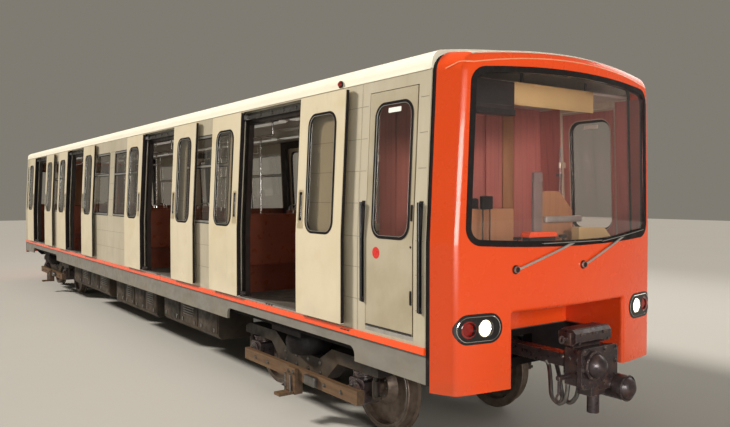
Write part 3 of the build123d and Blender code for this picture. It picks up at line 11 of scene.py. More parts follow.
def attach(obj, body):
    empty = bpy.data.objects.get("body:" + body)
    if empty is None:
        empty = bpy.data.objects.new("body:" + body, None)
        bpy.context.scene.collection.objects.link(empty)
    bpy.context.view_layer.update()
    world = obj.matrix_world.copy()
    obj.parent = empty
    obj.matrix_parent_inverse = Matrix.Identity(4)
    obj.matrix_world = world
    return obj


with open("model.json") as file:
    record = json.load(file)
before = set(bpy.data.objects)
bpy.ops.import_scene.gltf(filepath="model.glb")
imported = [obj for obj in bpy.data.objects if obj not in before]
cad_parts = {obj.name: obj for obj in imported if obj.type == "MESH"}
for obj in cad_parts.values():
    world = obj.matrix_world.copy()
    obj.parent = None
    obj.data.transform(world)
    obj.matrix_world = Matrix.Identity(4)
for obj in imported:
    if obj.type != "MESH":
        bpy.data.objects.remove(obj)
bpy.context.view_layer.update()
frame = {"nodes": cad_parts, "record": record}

# The car's main places, in metres. X runs to the cab end, -Y is the platform side. Every height here and in
# the drawing functions is above the rail, whose top lies RAIL_Z above the frame's origin at the flange tips.
RAIL_Z = 0.028
SEAM_X = 8.35
BODY_END_X = 8.3275
HALF_WIDTH = 1.35
WAIST_Z = 1.9
EAVE_Z = 3.262
EAVE_LEAN = 0.068
SILL_TOP_Z = 1.09
# Middles of the doorways
DOOR_X = (5.75, 2.25, -2.75, -6.25)
DOORWAY_WIDTH = 1.61
DOORWAY_TOP_Z = 3.24
LEAF_WIDTH = 0.798
LEAF_MEETING_GAP = 0.002
LEAF_OPEN_EDGE = 0.68
LEAF_PROUD = 0.06
LEAF_FACE_Y = HALF_WIDTH + LEAF_PROUD
LEAF_BOTTOM_Z = 1.12
LEAF_TOP_Z = 3.23
LEAF_WINDOW_FROM_EDGE = 0.175
LEAF_WINDOW_WIDTH = 0.48
WINDOW_BOTTOM_Z = 1.92
WINDOW_TOP_Z = 3.05
WINDOW_RADIUS = 0.12
WINDOW_MIDDLE_Z = (WINDOW_BOTTOM_Z + WINDOW_TOP_Z) / 2
WINDOW_HEIGHT = WINDOW_TOP_Z - WINDOW_BOTTOM_Z
# (middle X, width) of the side windows, and the heights of their lower and upper panes
SIDE_WINDOWS = ((4.0, 1.36), (0.59, 1.36), (-1.09, 1.36), (-4.5, 1.36), (-7.675, 0.95))
PANE_LEVELS = ((1.962, 2.634), (2.666, 3.008))
CAB_DOOR_REAR_X = SEAM_X - 0.815
CAB_DOOR_WIDTH = 0.635
CAB_DOOR_BOTTOM_Z = 1.157
CAB_DOOR_TOP_Z = 3.15
CAB_WINDOW_FROM_REAR = 0.085
CAB_WINDOW_WIDTH = 0.5
CAB_WINDOW_X = CAB_DOOR_REAR_X + CAB_WINDOW_FROM_REAR + CAB_WINDOW_WIDTH / 2
CAB_DOOR_FRONT_X = CAB_DOOR_REAR_X + CAB_DOOR_WIDTH
MASK_REACH = 0.35
MASK_TAPER = 0.113 / 0.249
MASK_CORNER_RADIUS = 0.08
MASK_INNER = 0.062
WALL_INNER = 0.067
POCKET_ROOF_Z = 1.40
FACE_RADIUS = (1.237 ** 2 + 0.125 ** 2) / (2 * 0.125)
BOGIE_X = (6.0, -6.0)
WHEELBASE = 2.1
WHEEL_RADIUS = 0.43
AXLE_Z = WHEEL_RADIUS
FLOOR_Z = 1.105
CEILING_Z = 3.2155


def half_width(z):
    """Outer half width of the body side at a height."""
    return HALF_WIDTH - EAVE_LEAN * max(0.0, z - WAIST_Z) / (EAVE_Z - WAIST_Z)


def face_x(y, proud=0.0):
    """X of the mask's curved face, or of a surface parallel to it."""
    return SEAM_X + MASK_REACH - FACE_RADIUS + math.sqrt((FACE_RADIUS + proud) ** 2 - y ** 2)


class Shader:
    """A material whose colour, roughness and relief come from object-space noise."""

    def __init__(self, colour, roughness=0.5, metallic=0.0, coat=0.0, specular=0.5):
        self.material = bpy.data.materials.new("look")
        self.material.use_nodes = True
        self.tree = self.material.node_tree
        self.surface = self.tree.nodes["Principled BSDF"]
        self.put("Base Color", (*colour, 1)).put("Roughness", roughness).put("Metallic", metallic)
        self.put("Coat Weight", coat).put("Specular IOR Level", specular)
        self.colour = None
        self.flat_colour = colour
        self.relief = None
        self.coords = self.tree.nodes.new("ShaderNodeTexCoord").outputs["Object"]

    def node(self, kind, **values):
        made = self.tree.nodes.new(kind)
        for key, value in values.items():
            setattr(made, key, value)
        return made

    def link(self, a, b):
        self.tree.links.new(a, b)

    def stretched(self, scale):
        """Object coordinates multiplied along X, Y and Z."""
        mapping = self.node("ShaderNodeMapping")
        mapping.inputs["Scale"].default_value = scale
        self.link(self.coords, mapping.inputs["Vector"])
        return mapping.outputs["Vector"]

    def noise(self, scale, stretch=(1, 1, 1), detail=4.0, rough=0.55):
        made = self.node("ShaderNodeTexNoise")
        made.inputs["Scale"].default_value = scale
        made.inputs["Detail"].default_value = detail
        made.inputs["Roughness"].default_value = rough
        self.link(self.stretched(stretch), made.inputs["Vector"])
        return made.outputs["Fac"]

    def height(self, low, high):
        """0 below one height and 1 above another."""
        split = self.node("ShaderNodeSeparateXYZ")
        self.link(self.coords, split.inputs[0])
        return self.spread(split.outputs["Z"], low, high)

    def spread(self, value, low, high, to_low=0.0, to_high=1.0):
        """Maps a value's range onto another, clamped."""
        made = self.node("ShaderNodeMapRange")
        for socket, number in zip(("From Min", "From Max", "To Min", "To Max"), (low, high, to_low, to_high)):
            made.inputs[socket].default_value = number
        self.link(value, made.inputs["Value"])
        return made.outputs["Result"]

    def times(self, a, b):
        made = self.node("ShaderNodeMath", operation="MULTIPLY")
        self.link(a, made.inputs[0])
        self.link(b, made.inputs[1])
        return made.outputs[0]

    def tint(self, mask, colour, strength=1.0):
        """Mixes a colour over what is there, where the mask is high."""
        mix = self.node("ShaderNodeMix", data_type="RGBA")
        if self.colour is None:
            mix.inputs["A"].default_value = (*self.flat_colour, 1)
        else:
            self.link(self.colour, mix.inputs["A"])
        mix.inputs["B"].default_value = (*colour, 1)
        self.link(self.spread(mask, 0, 1, 0, strength), mix.inputs["Factor"])
        self.colour = mix.outputs["Result"]
        self.link(self.colour, self.surface.inputs["Base Color"])
        return self

    def mottle(self, scale, colour, low=0.45, high=0.7, strength=1.0, stretch=(1, 1, 1), detail=4.0):
        """Patches of another colour."""
        return self.tint(self.spread(self.noise(scale, stretch, detail), low, high), colour, strength)

    def gloss(self, scale, low, high, stretch=(1, 1, 1), detail=4.0):
        """Roughness that wanders between two values."""
        value = self.spread(self.noise(scale, stretch, detail), 0.35, 0.65, low, high)
        self.link(value, self.surface.inputs["Roughness"])
        return self

    def bump(self, scale, distance, strength=0.3, stretch=(1, 1, 1), detail=3.0):
        """Relief from noise, added to any relief before it."""
        made = self.node("ShaderNodeBump")
        made.inputs["Distance"].default_value = distance
        made.inputs["Strength"].default_value = strength
        self.link(self.noise(scale, stretch, detail), made.inputs["Height"])
        if self.relief is not None:
            self.link(self.relief, made.inputs["Normal"])
        self.relief = made.outputs["Normal"]
        self.link(self.relief, self.surface.inputs["Normal"])
        return self

    def wear(self, colour, radius=0.012, strength=0.8):
        """Another colour along sharp edges, broken up by noise."""
        bevel = self.node("ShaderNodeBevel", samples=4)
        bevel.inputs["Radius"].default_value = radius
        geometry = self.node("ShaderNodeNewGeometry")
        dot = self.node("ShaderNodeVectorMath", operation="DOT_PRODUCT")
        self.link(bevel.outputs["Normal"], dot.inputs[0])
        self.link(geometry.outputs["Normal"], dot.inputs[1])
        edge = self.spread(dot.outputs["Value"], 0.98, 0.8)
        return self.tint(self.times(edge, self.spread(self.noise(30), 0.4, 0.6)), colour, strength)

    def dusty(self, colour, low, high, strength):
        """Road dust that thickens towards the ground, in patches."""
        patches = self.spread(self.noise(2.2, (1, 1, 1.4), 6), 0.3, 0.7)
        return self.tint(self.times(patches, self.height(high, low)), colour, strength)

    def put(self, socket, value):
        """Sets one socket of the surface to a constant."""
        self.surface.inputs[socket].default_value = value
        return self


def glass(tint, shade):
    """Glass of some tint, slightly wavy, that lets lamp light through and tones it by its shade."""
    made = Shader(tint, 0.015).put("Transmission Weight", 1.0).put("IOR", 1.45).bump(1.3, 0.002, 0.05)
    clear = made.node("ShaderNodeBsdfTransparent")
    clear.inputs["Color"].default_value = (*shade, 1)
    path = made.node("ShaderNodeLightPath")
    mix = made.node("ShaderNodeMixShader")
    made.link(path.outputs["Is Shadow Ray"], mix.inputs["Fac"])
    made.link(made.surface.outputs["BSDF"], mix.inputs[1])
    made.link(clear.outputs["BSDF"], mix.inputs[2])
    made.link(mix.outputs["Shader"], made.tree.nodes["Material Output"].inputs["Surface"])
    return made


LOOKS = {
    "body_sheet": Shader((0.60, 0.545, 0.43), 0.36, 0.28, 0.05)
        .mottle(1.1, (0.50, 0.45, 0.335), 0.42, 0.68, 0.8, (1, 1, 0.6), 6)
        .mottle(14, (0.68, 0.65, 0.56), 0.5, 0.75, 0.35, (1, 1, 0.15), 5)
        .mottle(5, (0.36, 0.33, 0.26), 0.56, 0.8, 0.35, (2, 2, 0.35), 7)
        .dusty((0.30, 0.26, 0.19), 1.1, 1.75, 0.4)
        .gloss(6, 0.30, 0.44, (1, 1, 0.3)).bump(220, 0.0004, 0.25, (1, 1, 0.05)),
    "door_sheet": Shader((0.53, 0.475, 0.365), 0.38, 0.25, 0.05)
        .mottle(2.4, (0.40, 0.345, 0.235), 0.42, 0.7, 0.75, (1, 1, 0.8), 7)
        .dusty((0.26, 0.215, 0.135), 1.1, 2.0, 0.55)
        .gloss(6, 0.30, 0.44, (1, 1, 0.3)).bump(220, 0.0004, 0.25, (1, 1, 0.05)),
    "leaf_paint": Shader((0.71, 0.63, 0.475), 0.38, 0.12, 0.08)
        .mottle(1.6, (0.63, 0.55, 0.385), 0.45, 0.7, 0.7, (1, 1, 0.7), 6)
        .mottle(7, (0.45, 0.40, 0.30), 0.6, 0.82, 0.35, (1, 1, 0.5), 7)
        .mottle(1.9, (0.56, 0.45, 0.22), 0.55, 0.72, 0.4, (1, 1, 1.2), 5)
        .dusty((0.40, 0.34, 0.24), 1.15, 1.9, 0.35)
        .gloss(5, 0.32, 0.46).bump(160, 0.0004, 0.2, (1, 1, 0.1)),
    "orange_paint": Shader((0.90, 0.086, 0.012), 0.26, 0.0, 0.4, 0.35)
        .put("Coat Roughness", 0.08)
        .mottle(0.9, (0.86, 0.072, 0.010), 0.4, 0.7, 0.7, detail=5)
        .mottle(18, (0.92, 0.11, 0.018), 0.55, 0.8, 0.3, detail=5)
        .dusty((0.42, 0.10, 0.035), 0.72, 1.25, 0.4)
        .gloss(3, 0.2, 0.32).bump(3.5, 0.003, 0.08).bump(90, 0.0003, 0.15),
    "roof_paint": Shader((0.80, 0.765, 0.665), 0.6, 0.0, 0.0, 0.25)
        .mottle(1.4, (0.72, 0.68, 0.57), 0.45, 0.72, 0.6, (0.5, 1, 1), 6)
        .mottle(9, (0.50, 0.46, 0.37), 0.62, 0.85, 0.4, (0.4, 1, 1), 7)
        .gloss(4, 0.52, 0.7).bump(60, 0.0006, 0.2),
    "black_rubber": Shader((0.010, 0.008, 0.009), 0.55, 0.0, 0.0, 0.2)
        .mottle(25, (0.030, 0.025, 0.024), 0.5, 0.75, 0.6).gloss(12, 0.5, 0.75).bump(300, 0.0004, 0.3),
    "aluminium_trim": Shader((0.66, 0.65, 0.62), 0.3, 0.9)
        .mottle(9, (0.48, 0.47, 0.44), 0.5, 0.75, 0.6, (1, 1, 0.3), 6)
        .gloss(20, 0.34, 0.5, (1, 1, 0.2)).bump(260, 0.0003, 0.2, (0.1, 1, 1)),
    "steel_tube": Shader((0.70, 0.69, 0.67), 0.16, 1.0)
        .mottle(12, (0.52, 0.50, 0.47), 0.5, 0.8, 0.5).gloss(16, 0.12, 0.3),
    "ceiling_panel": Shader((0.62, 0.60, 0.52), 0.5)
        .mottle(1.2, (0.52, 0.50, 0.42), 0.4, 0.7, 0.6).gloss(8, 0.4, 0.6).bump(70, 0.0006, 0.2),
    "floor_covering": Shader((0.085, 0.075, 0.065), 0.6)
        .mottle(5, (0.16, 0.14, 0.115), 0.45, 0.75, 0.6, detail=7)
        .gloss(8, 0.45, 0.7).bump(120, 0.001, 0.35),
    "grey_paint": Shader((0.20, 0.195, 0.18), 0.45)
        .mottle(3, (0.13, 0.12, 0.105), 0.4, 0.7, 0.7, (1, 1, 2), 6)
        .dusty((0.22, 0.175, 0.12), 0.8, 1.1, 0.6)
        .gloss(9, 0.38, 0.6).bump(60, 0.0008, 0.25),
    "black_plastic": Shader((0.014, 0.013, 0.015), 0.35, 0.0, 0.1, 0.3)
        .mottle(30, (0.045, 0.043, 0.04), 0.5, 0.8, 0.5).gloss(14, 0.28, 0.48).bump(260, 0.0004, 0.25),
    "dark_steel": Shader((0.19, 0.185, 0.18), 0.38, 0.85)
        .mottle(16, (0.10, 0.085, 0.07), 0.45, 0.75, 0.7, detail=6)
        .gloss(22, 0.28, 0.55).bump(90, 0.0006, 0.3),
    "black_iron": Shader((0.046, 0.034, 0.038), 0.4, 0.35, 0.2)
        .mottle(9, (0.13, 0.065, 0.045), 0.5, 0.78, 0.8, detail=7)
        .mottle(40, (0.20, 0.17, 0.17), 0.6, 0.8, 0.4)
        .wear((0.42, 0.35, 0.31), 0.008, 0.8)
        .gloss(18, 0.24, 0.6).bump(70, 0.0015, 0.4),
    # Near-black for the underframe, darker than its own paint: painted shade under the car
    "painted_shade_black": Shader((0.009, 0.008, 0.009), 0.7, 0.0, 0.0, 0.1)
        .mottle(5, (0.022, 0.017, 0.014), 0.45, 0.75, 0.7, detail=6)
        .gloss(10, 0.55, 0.85).bump(60, 0.001, 0.3),
    "dark_trim": Shader((0.020, 0.016, 0.015), 0.5, 0.0, 0.0, 0.3)
        .mottle(6, (0.045, 0.036, 0.030), 0.45, 0.75, 0.6).gloss(10, 0.32, 0.55).bump(120, 0.0005, 0.2),
    "underframe_paint": Shader((0.024, 0.022, 0.021), 0.6, 0.1, 0.0, 0.3)
        .mottle(4, (0.075, 0.052, 0.036), 0.45, 0.75, 0.8, detail=7)
        .dusty((0.17, 0.125, 0.085), 0.2, 0.85, 0.6)
        .wear((0.16, 0.10, 0.065), 0.01, 0.6)
        .gloss(10, 0.5, 0.8).bump(60, 0.0015, 0.35),
    "cab_panel": Shader((0.44, 0.148, 0.125), 0.4)
        .mottle(3, (0.42, 0.155, 0.12), 0.4, 0.7, 0.6, (1, 1, 0.2), 6)
        .mottle(34, (0.21, 0.070, 0.064), 0.5, 0.75, 0.55, (1, 1, 0.02), 4)
        .gloss(7, 0.32, 0.5).bump(90, 0.0005, 0.2),
    "seat_plastic": Shader((0.21, 0.055, 0.026), 0.38, 0.0, 0.15, 0.4)
        .mottle(3, (0.17, 0.044, 0.021), 0.4, 0.75, 0.7).gloss(10, 0.25, 0.45).bump(80, 0.0006, 0.25),
    "shoe_beam_wood": Shader((0.13, 0.075, 0.04), 0.6)
        .mottle(9, (0.06, 0.035, 0.02), 0.4, 0.7, 0.8, (0.2, 3, 3), 8)
        .gloss(12, 0.5, 0.75).bump(60, 0.001, 0.4, (0.2, 3, 3)),
    "wheel_steel": Shader((0.17, 0.13, 0.105), 0.5, 0.6)
        .mottle(12, (0.08, 0.055, 0.04), 0.4, 0.7, 0.8, detail=7)
        .gloss(14, 0.4, 0.7).bump(70, 0.0012, 0.3),
    "lamp_white": Shader((0.95, 0.93, 0.84), 0.1)
        .put("Emission Color", (1.0, 0.93, 0.75, 1))
        .put("Emission Strength", 2.2)
        .bump(45, 0.002, 0.4),
    "lamp_red": Shader((0.30, 0.012, 0.008), 0.12, 0.0, 0.6)
        .mottle(30, (0.18, 0.006, 0.004), 0.4, 0.7, 0.6).bump(140, 0.0012, 0.5),
    "seam_dark": Shader((0.20, 0.18, 0.14), 0.5)
        .mottle(20, (0.32, 0.29, 0.23), 0.4, 0.7, 0.6),
    "chrome": Shader((0.82, 0.80, 0.76), 0.12, 1.0)
        .mottle(22, (0.55, 0.50, 0.44), 0.5, 0.8, 0.5).gloss(20, 0.06, 0.2),
    "blank_white": Shader((0.86, 0.86, 0.82), 0.4)
        .mottle(16, (0.74, 0.73, 0.68), 0.45, 0.75, 0.6).gloss(18, 0.32, 0.5),
    "red_enamel": Shader((0.62, 0.018, 0.014), 0.3, 0.0, 0.4)
        .mottle(18, (0.48, 0.012, 0.010), 0.4, 0.7, 0.6).gloss(16, 0.22, 0.4),
    "beige_panel": Shader((0.46, 0.33, 0.15), 0.45)
        .mottle(4, (0.39, 0.285, 0.128), 0.4, 0.7, 0.6, (1, 1, 0.4), 6)
        .gloss(8, 0.36, 0.55).bump(80, 0.0005, 0.2),
    "tan_panel": Shader((0.33, 0.165, 0.082), 0.42)
        .mottle(20, (0.24, 0.112, 0.054), 0.45, 0.75, 0.6, (1, 1, 0.03), 5)
        .gloss(7, 0.34, 0.52).bump(90, 0.0005, 0.2),
    "cab_grey": Shader((0.21, 0.165, 0.15), 0.45)
        .mottle(7, (0.16, 0.125, 0.115), 0.45, 0.75, 0.6).gloss(9, 0.36, 0.55),
    "plate_alloy": Shader((0.60, 0.50, 0.34), 0.36, 0.4)
        .mottle(26, (0.34, 0.28, 0.19), 0.5, 0.75, 0.6, (1, 1, 0.2), 5)
        .gloss(22, 0.28, 0.46).bump(200, 0.0003, 0.2),
    # Light orange for the mask's crease line: a painted highlight where the edge catches the light
    "crease_painted_highlight": Shader((0.90, 0.36, 0.20), 0.3, 0.0, 0.3)
        .mottle(14, (0.88, 0.24, 0.11), 0.45, 0.75, 0.6).gloss(16, 0.22, 0.4),
    "light_tube": Shader((0.80, 0.80, 0.74), 0.4)
        .put("Emission Color", (1.0, 0.95, 0.85, 1))
        .put("Emission Strength", 0.2)
        .mottle(6, (0.70, 0.70, 0.62), 0.4, 0.7, 0.5).gloss(10, 0.3, 0.5),
    "clear_glass": glass((0.90, 0.87, 0.82), (0.76, 0.72, 0.66)),
    "screen_glass": glass((0.94, 0.89, 0.90), (0.90, 0.86, 0.86)),
}
for name, look in LOOKS.items():
    look.material.name = name


# CAD nodes that wear a closer look than their slot's. The underframe's near-black, darker than its own paint,
# is painted shade under the car.
CLOSER_LOOKS = {
    "windscreen": "screen_glass", "door_leaves_open": "leaf_paint", "door_leaves_closed": "leaf_paint",
    "wipers": "aluminium_trim", "underframe": "painted_shade_black", "cab_door_left": "door_sheet",
    "cab_door_right": "door_sheet",
}


def dress():
    """Every CAD node takes the material of its slot, and a few a closer one."""
    for entry in frame["record"]["subparts"]:
        node = frame["nodes"][entry["node"]]
        node.data.materials.clear()
        node.data.materials.append(LOOKS[CLOSER_LOOKS.get(entry["node"], entry["material_slot"])].material)


def rounded_outline(width, height, radius, steps=8):
    """Points round a rounded rectangle about (0, 0), each with its outward direction."""
    points = []
    for quarter, (sx, sz) in enumerate(((1, 1), (-1, 1), (-1, -1), (1, -1))):
        centre = Vector((sx * (width / 2 - radius), sz * (height / 2 - radius)))
        for step in range(steps + 1):
            angle = math.radians(90 * quarter + 90 * step / steps)
            out = Vector((math.cos(angle), math.sin(angle)))
            points.append((centre + out * radius, out))
    return points


def loft(bm, rows, closed=False, capped=False):
    """Faces between neighbouring rings of vertices, with caps on both ends or back round to the first."""
    for a, b in zip(rows, rows[1:] + rows[:1] if closed else rows[1:]):
        for i in range(len(a)):
            j = (i + 1) % len(a)
            bm.faces.new((a[i], a[j], b[j], b[i]))
    if capped:
        bm.faces.new(rows[0][::-1])
        bm.faces.new(rows[-1])


def ring(bm, centre, across, up, radius, sides):
    """Vertices on a circle in the plane of two directions."""
    turns = (2 * math.pi * i / sides for i in range(sides))
    return [bm.verts.new(centre + radius * (math.cos(a) * across + math.sin(a) * up)) for a in turns]


def sweep_ring(bm, surface, centre, size, radius, profile, steps=8):
    """Sweeps a closed profile of (outward, proud) pairs round a rounded rectangle that lies on a surface."""
    rows = []
    for point, out in rounded_outline(*size, radius, steps):
        at = Vector(centre) + point
        rows.append([bm.verts.new(surface(at.x + out.x * d, at.y + out.y * d, h)) for d, h in profile])
    loft(bm, rows, closed=True)


def slab(bm, surface, outline, low, high):
    """A plate of some thickness whose outline lies on a surface."""
    loft(bm, [[bm.verts.new(surface(u, v, h)) for u, v in outline] for h in (low, high)], capped=True)


def plate(bm, surface, u0, u1, v0, v1, low, high, radius=0.0):
    """A rectangular or round-cornered plate on a surface, cut at the waist where the side bends."""
    u0, u1 = sorted((u0, u1))
    if radius:
        middle = Vector(((u0 + u1) / 2, (v0 + v1) / 2))
        outline = [middle + point for point, _ in rounded_outline(u1 - u0, v1 - v0, radius, 5)]
        slab(bm, surface, outline, low, high)
        return
    levels = [v0, WAIST_Z, v1] if v0 < WAIST_Z < v1 else [v0, v1]
    for a, b in zip(levels, levels[1:]):
        slab(bm, surface, [(u0, a), (u1, a), (u1, b), (u0, b)], low, high)


def box(bm, x0, x1, y0, y1, z0, z1, bevel=0.0):
    """A block between two limits along each axis, given in either order."""
    made = bmesh.ops.create_cube(bm, size=1)["verts"]
    limits = [sorted(pair) for pair in ((x0, x1), (y0, y1), (z0, z1))]
    for vert in made:
        vert.co = Vector([pair[0 if place < 0 else 1] for pair, place in zip(limits, vert.co)])
    if bevel:
        edges = list({edge for vert in made for edge in vert.link_edges})
        bmesh.ops.bevel(bm, geom=edges, offset=bevel, segments=2, affect="EDGES", profile=0.5)


def turned(bm, start, end, profile, sides=20):
    """A turned piece between two points: the profile gives (share of the length, radius) along it."""
    start, end = Vector(start), Vector(end)
    axis = (end - start).normalized()
    across = axis.orthogonal().normalized()
    up = axis.cross(across)
    rings = [ring(bm, start.lerp(end, share), across, up, radius, sides) for share, radius in profile]
    loft(bm, rings, capped=True)


def stud(bm, surface, x, z, low, high, profile, sides):
    """A turned piece that stands on a surface, from one distance off it to another."""
    turned(bm, surface(x, z, low), surface(x, z, high), profile, sides)


def rod(bm, start, end, radius, sides=14):
    """A rod with slightly rounded ends."""
    length = (Vector(end) - Vector(start)).length
    soft = min(0.15 * radius / length, 0.4)
    tip = radius * 0.85
    turned(bm, start, end, [(0, tip), (soft, radius), (1 - soft, radius), (1, tip)], sides)


def bolt(bm, place, axis, radius=0.012, height=0.01):
    """A hexagon head on a washer."""
    place, axis = Vector(place), Vector(axis)
    seat = place + axis * height * 0.3
    turned(bm, place, seat, [(0, radius * 1.5), (1, radius * 1.5)], 14)
    turned(bm, seat, place + axis * height, [(0, radius), (0.8, radius), (1, radius * 0.8)], 6)


def torus(bm, centre, axis, radius, wire, around=28, sides=8):
    """A round ring about an axis."""
    centre, axis = Vector(centre), Vector(axis).normalized()
    across = axis.orthogonal().normalized()
    up = axis.cross(across)
    rings = []
    for i in range(around):
        a = 2 * math.pi * i / around
        out = math.cos(a) * across + math.sin(a) * up
        rings.append(ring(bm, centre + out * radius, out, axis, wire, sides))
    loft(bm, rings, closed=True)


def pipe(bm, points, radius, sides=10):
    """A bent tube through some points, with its corners rounded by a smooth curve."""
    points = [Vector(p) for p in points]
    path = []
    steps = 6
    for i in range(len(points) - 1):
        a = points[max(i - 1, 0)]
        b, c = points[i], points[i + 1]
        d = points[min(i + 2, len(points) - 1)]
        for k in range(steps):
            t = k / steps
            path.append(0.5 * (2 * b + (c - a) * t + (2 * a - 5 * b + 4 * c - d) * t * t
                               + (3 * b - a - 3 * c + d) * t ** 3))
    path.append(points[-1])
    rings = []
    side = (path[1] - path[0]).orthogonal().normalized()
    for i, place in enumerate(path):
        way = (path[min(i + 1, len(path) - 1)] - path[max(i - 1, 0)]).normalized()
        side = (side - way * side.dot(way)).normalized()
        rings.append(ring(bm, place, side, way.cross(side), radius, sides))
    loft(bm, rings, capped=True)


def side_surface(side, out=0.0):
    """A point at (x, z) on the left (1) or right (-1) side, proud of it but not past the leaves' faces."""
    return lambda x, z, h: Vector((x, side * min(half_width(z) + out + h, LEAF_FACE_Y), z))


SIDES = tuple((side, side_surface(side)) for side in (-1, 1))


def face_surface(way):
    """A point at (y, z) on the front (1) or rear (-1) mask's curved face."""
    return lambda y, z, h: Vector((way * face_x(y, h), y, z))


def skin_of(name):
    """The outer skin of a CAD node, for thin pieces that lie on it."""
    node = frame["nodes"][name]
    corners = [node.matrix_world @ vertex.co - Vector((0, 0, RAIL_Z)) for vertex in node.data.vertices]
    return BVHTree.FromPolygons(corners, [tuple(polygon.vertices) for polygon in node.data.polygons])


def laid(tree, start, way, lift):
    """Where a ray meets a skin, lifted off it."""
    place, normal, _, _ = tree.ray_cast(Vector(start), Vector(way))
    return place + normal * (lift if normal.dot(Vector(way)) < 0 else -lift)


def windowed_panel(bm, surface, centre, size, radius, panel, low, high):
    """A panel (u0, u1, v0, v1) with a round-cornered window in it."""
    u0, u1, v0, v1 = panel
    rows = []
    for point, out in rounded_outline(*size, radius, 6):
        near = Vector(centre) + point
        far = near + out * 3
        far = Vector((min(max(far.x, u0), u1), min(max(far.y, v0), v1)))
        corners = ((near, low), (far, low), (far, high), (near, high))
        rows.append([bm.verts.new(surface(at.x, at.y, h)) for at, h in corners])
    loft(bm, rows, closed=True)
    bmesh.ops.remove_doubles(bm, verts=bm.verts, dist=0.0002)


# Places of the pieces that are made more than once
# (ending of the piece's name, body it rides on, value its drawing function takes)
CAB_DOORS = (("_left", "cab_door_left", 1), ("_right", "cab_door_right", -1))
COUPLERS = (("_front", "coupler_front", 1), ("_rear", "coupler_rear", -1))
MASKS = (("_front", "carbody", 1), ("_rear", "carbody", -1))
BOGIES = (("_front", "bogie_front", BOGIE_X[0]), ("_rear", "bogie_rear", BOGIE_X[1]))
AXLES = tuple((f"_{2 * i + k + 1}", f"axle_{2 * i + k + 1}", x + way * WHEELBASE / 2)
              for i, x in enumerate(BOGIE_X) for k, way in enumerate((1, -1)))


def make_piece(name, look, body, draw, *values):
    """Draws a mesh piece above the rail, smooths it where it is round, and lets it ride on a body."""
    mesh = bpy.data.meshes.new(name)
    bm = bmesh.new()
    draw(bm, *values)
    bmesh.ops.recalc_face_normals(bm, faces=bm.faces)
    bmesh.ops.translate(bm, verts=bm.verts, vec=(0, 0, RAIL_Z))
    bm.to_mesh(mesh)
    bm.free()
    for polygon in mesh.polygons:
        polygon.use_smooth = True
    mesh.set_sharp_from_angle(angle=math.radians(32))
    mesh.materials.append(LOOKS[look].material)
    made = bpy.data.objects.new(name, mesh)
    bpy.context.scene.collection.objects.link(made)
    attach(made, body)


def piece(look, places=(("", "carbody"),)):
    """Makes what a function draws into pieces of its name: one for each (name's ending, body, values)."""
    def make(draw):
        for ending, body, *values in places:
            make_piece(draw.__name__ + ending, look, body, draw, *values)
        return draw
    return make


# (side, leading edge from the doorway's middle, distance off the body side) of the shut and the open leaves
LEAF_STATES = ((1, LEAF_MEETING_GAP, 0.0), (-1, LEAF_OPEN_EDGE, LEAF_PROUD))
RUBBER_PROFILE = ((0.007, -0.001), (0.006, 0.004), (0.002, 0.007), (-0.012, 0.007), (-0.017, 0.004),
                  (-0.017, -0.0025), (-0.0225, -0.0025), (-0.0225, -0.0088), (0.0, -0.0088))
LIP_PROFILE = ((-0.017, -0.002), (-0.017, 0.004), (-0.0185, 0.005), (-0.021, 0.0035), (-0.0215, -0.002))
REVEAL_PROFILE = ((0.0005, -0.0175), (-0.0015, -0.0175), (-0.0015, -0.0372), (0.0005, -0.0372))
HANDLE_FROM_EDGE = 0.078
HANDLE_WIDTH = 0.056
HANDLE_BOTTOM_Z = 2.03
HANDLE_TOP_Z = 2.31
HANDLE_MIDDLE_Z = (HANDLE_BOTTOM_Z + HANDLE_TOP_Z) / 2
HANDLE_HEIGHT = HANDLE_TOP_Z - HANDLE_BOTTOM_Z
HANDLE_FRAME = 0.023
HANDLE_PLATE_BOTTOM_Z = 1.955
LOCK_Z = HANDLE_PLATE_BOTTOM_Z + 0.03


def leaves():
    """(surface, leading edge X, direction away from it, side) of every leaf."""
    for x, (side, edge, out), way in product(DOOR_X, LEAF_STATES, (-1, 1)):
        yield side_surface(side, out), x + way * edge, way, side


def handles():
    """(surface, middle X) of every leaf's handle."""
    for surface, edge, way, _ in leaves():
        yield surface, edge + way * HANDLE_FROM_EDGE


def leaf_window_rings(bm, profile):
    for surface, edge, way, _ in leaves():
        middle = edge + way * (LEAF_WINDOW_FROM_EDGE + LEAF_WINDOW_WIDTH / 2)
        sweep_ring(bm, surface, (middle, WINDOW_MIDDLE_Z), (LEAF_WINDOW_WIDTH, WINDOW_HEIGHT), WINDOW_RADIUS,
                   profile)


def cab_window_ring(bm, side, profile):
    sweep_ring(bm, side_surface(side), (CAB_WINDOW_X, WINDOW_MIDDLE_Z), (CAB_WINDOW_WIDTH, WINDOW_HEIGHT),
               WINDOW_RADIUS, profile)


for part, look, profile in (("rubber", "black_rubber", RUBBER_PROFILE),
                            ("reveal", "black_rubber", REVEAL_PROFILE),
                            ("lip", "aluminium_trim", LIP_PROFILE)):
    make_piece(f"leaf_window_{part}s", look, "carbody", leaf_window_rings, profile)
    for ending, body, side in CAB_DOORS:
        make_piece(f"cab_window_{part}{ending}", look, body, cab_window_ring, side, profile)


@piece("black_rubber")
def leaf_edge_rubbers(bm):
    """Rubber noses along the open leaves' leading edges, and thin seals along their trailing edges."""
    for surface, edge, way, side in leaves():
        if side < 0:
            far = edge + way * LEAF_WIDTH
            for start, end, low, high in ((edge, edge - way * 0.014, -0.036, -0.003),
                                          (far, far + way * 0.006, -0.034, -0.006)):
                plate(bm, surface, start, end, LEAF_BOTTOM_Z + 0.008, LEAF_TOP_Z - 0.008, low, high)


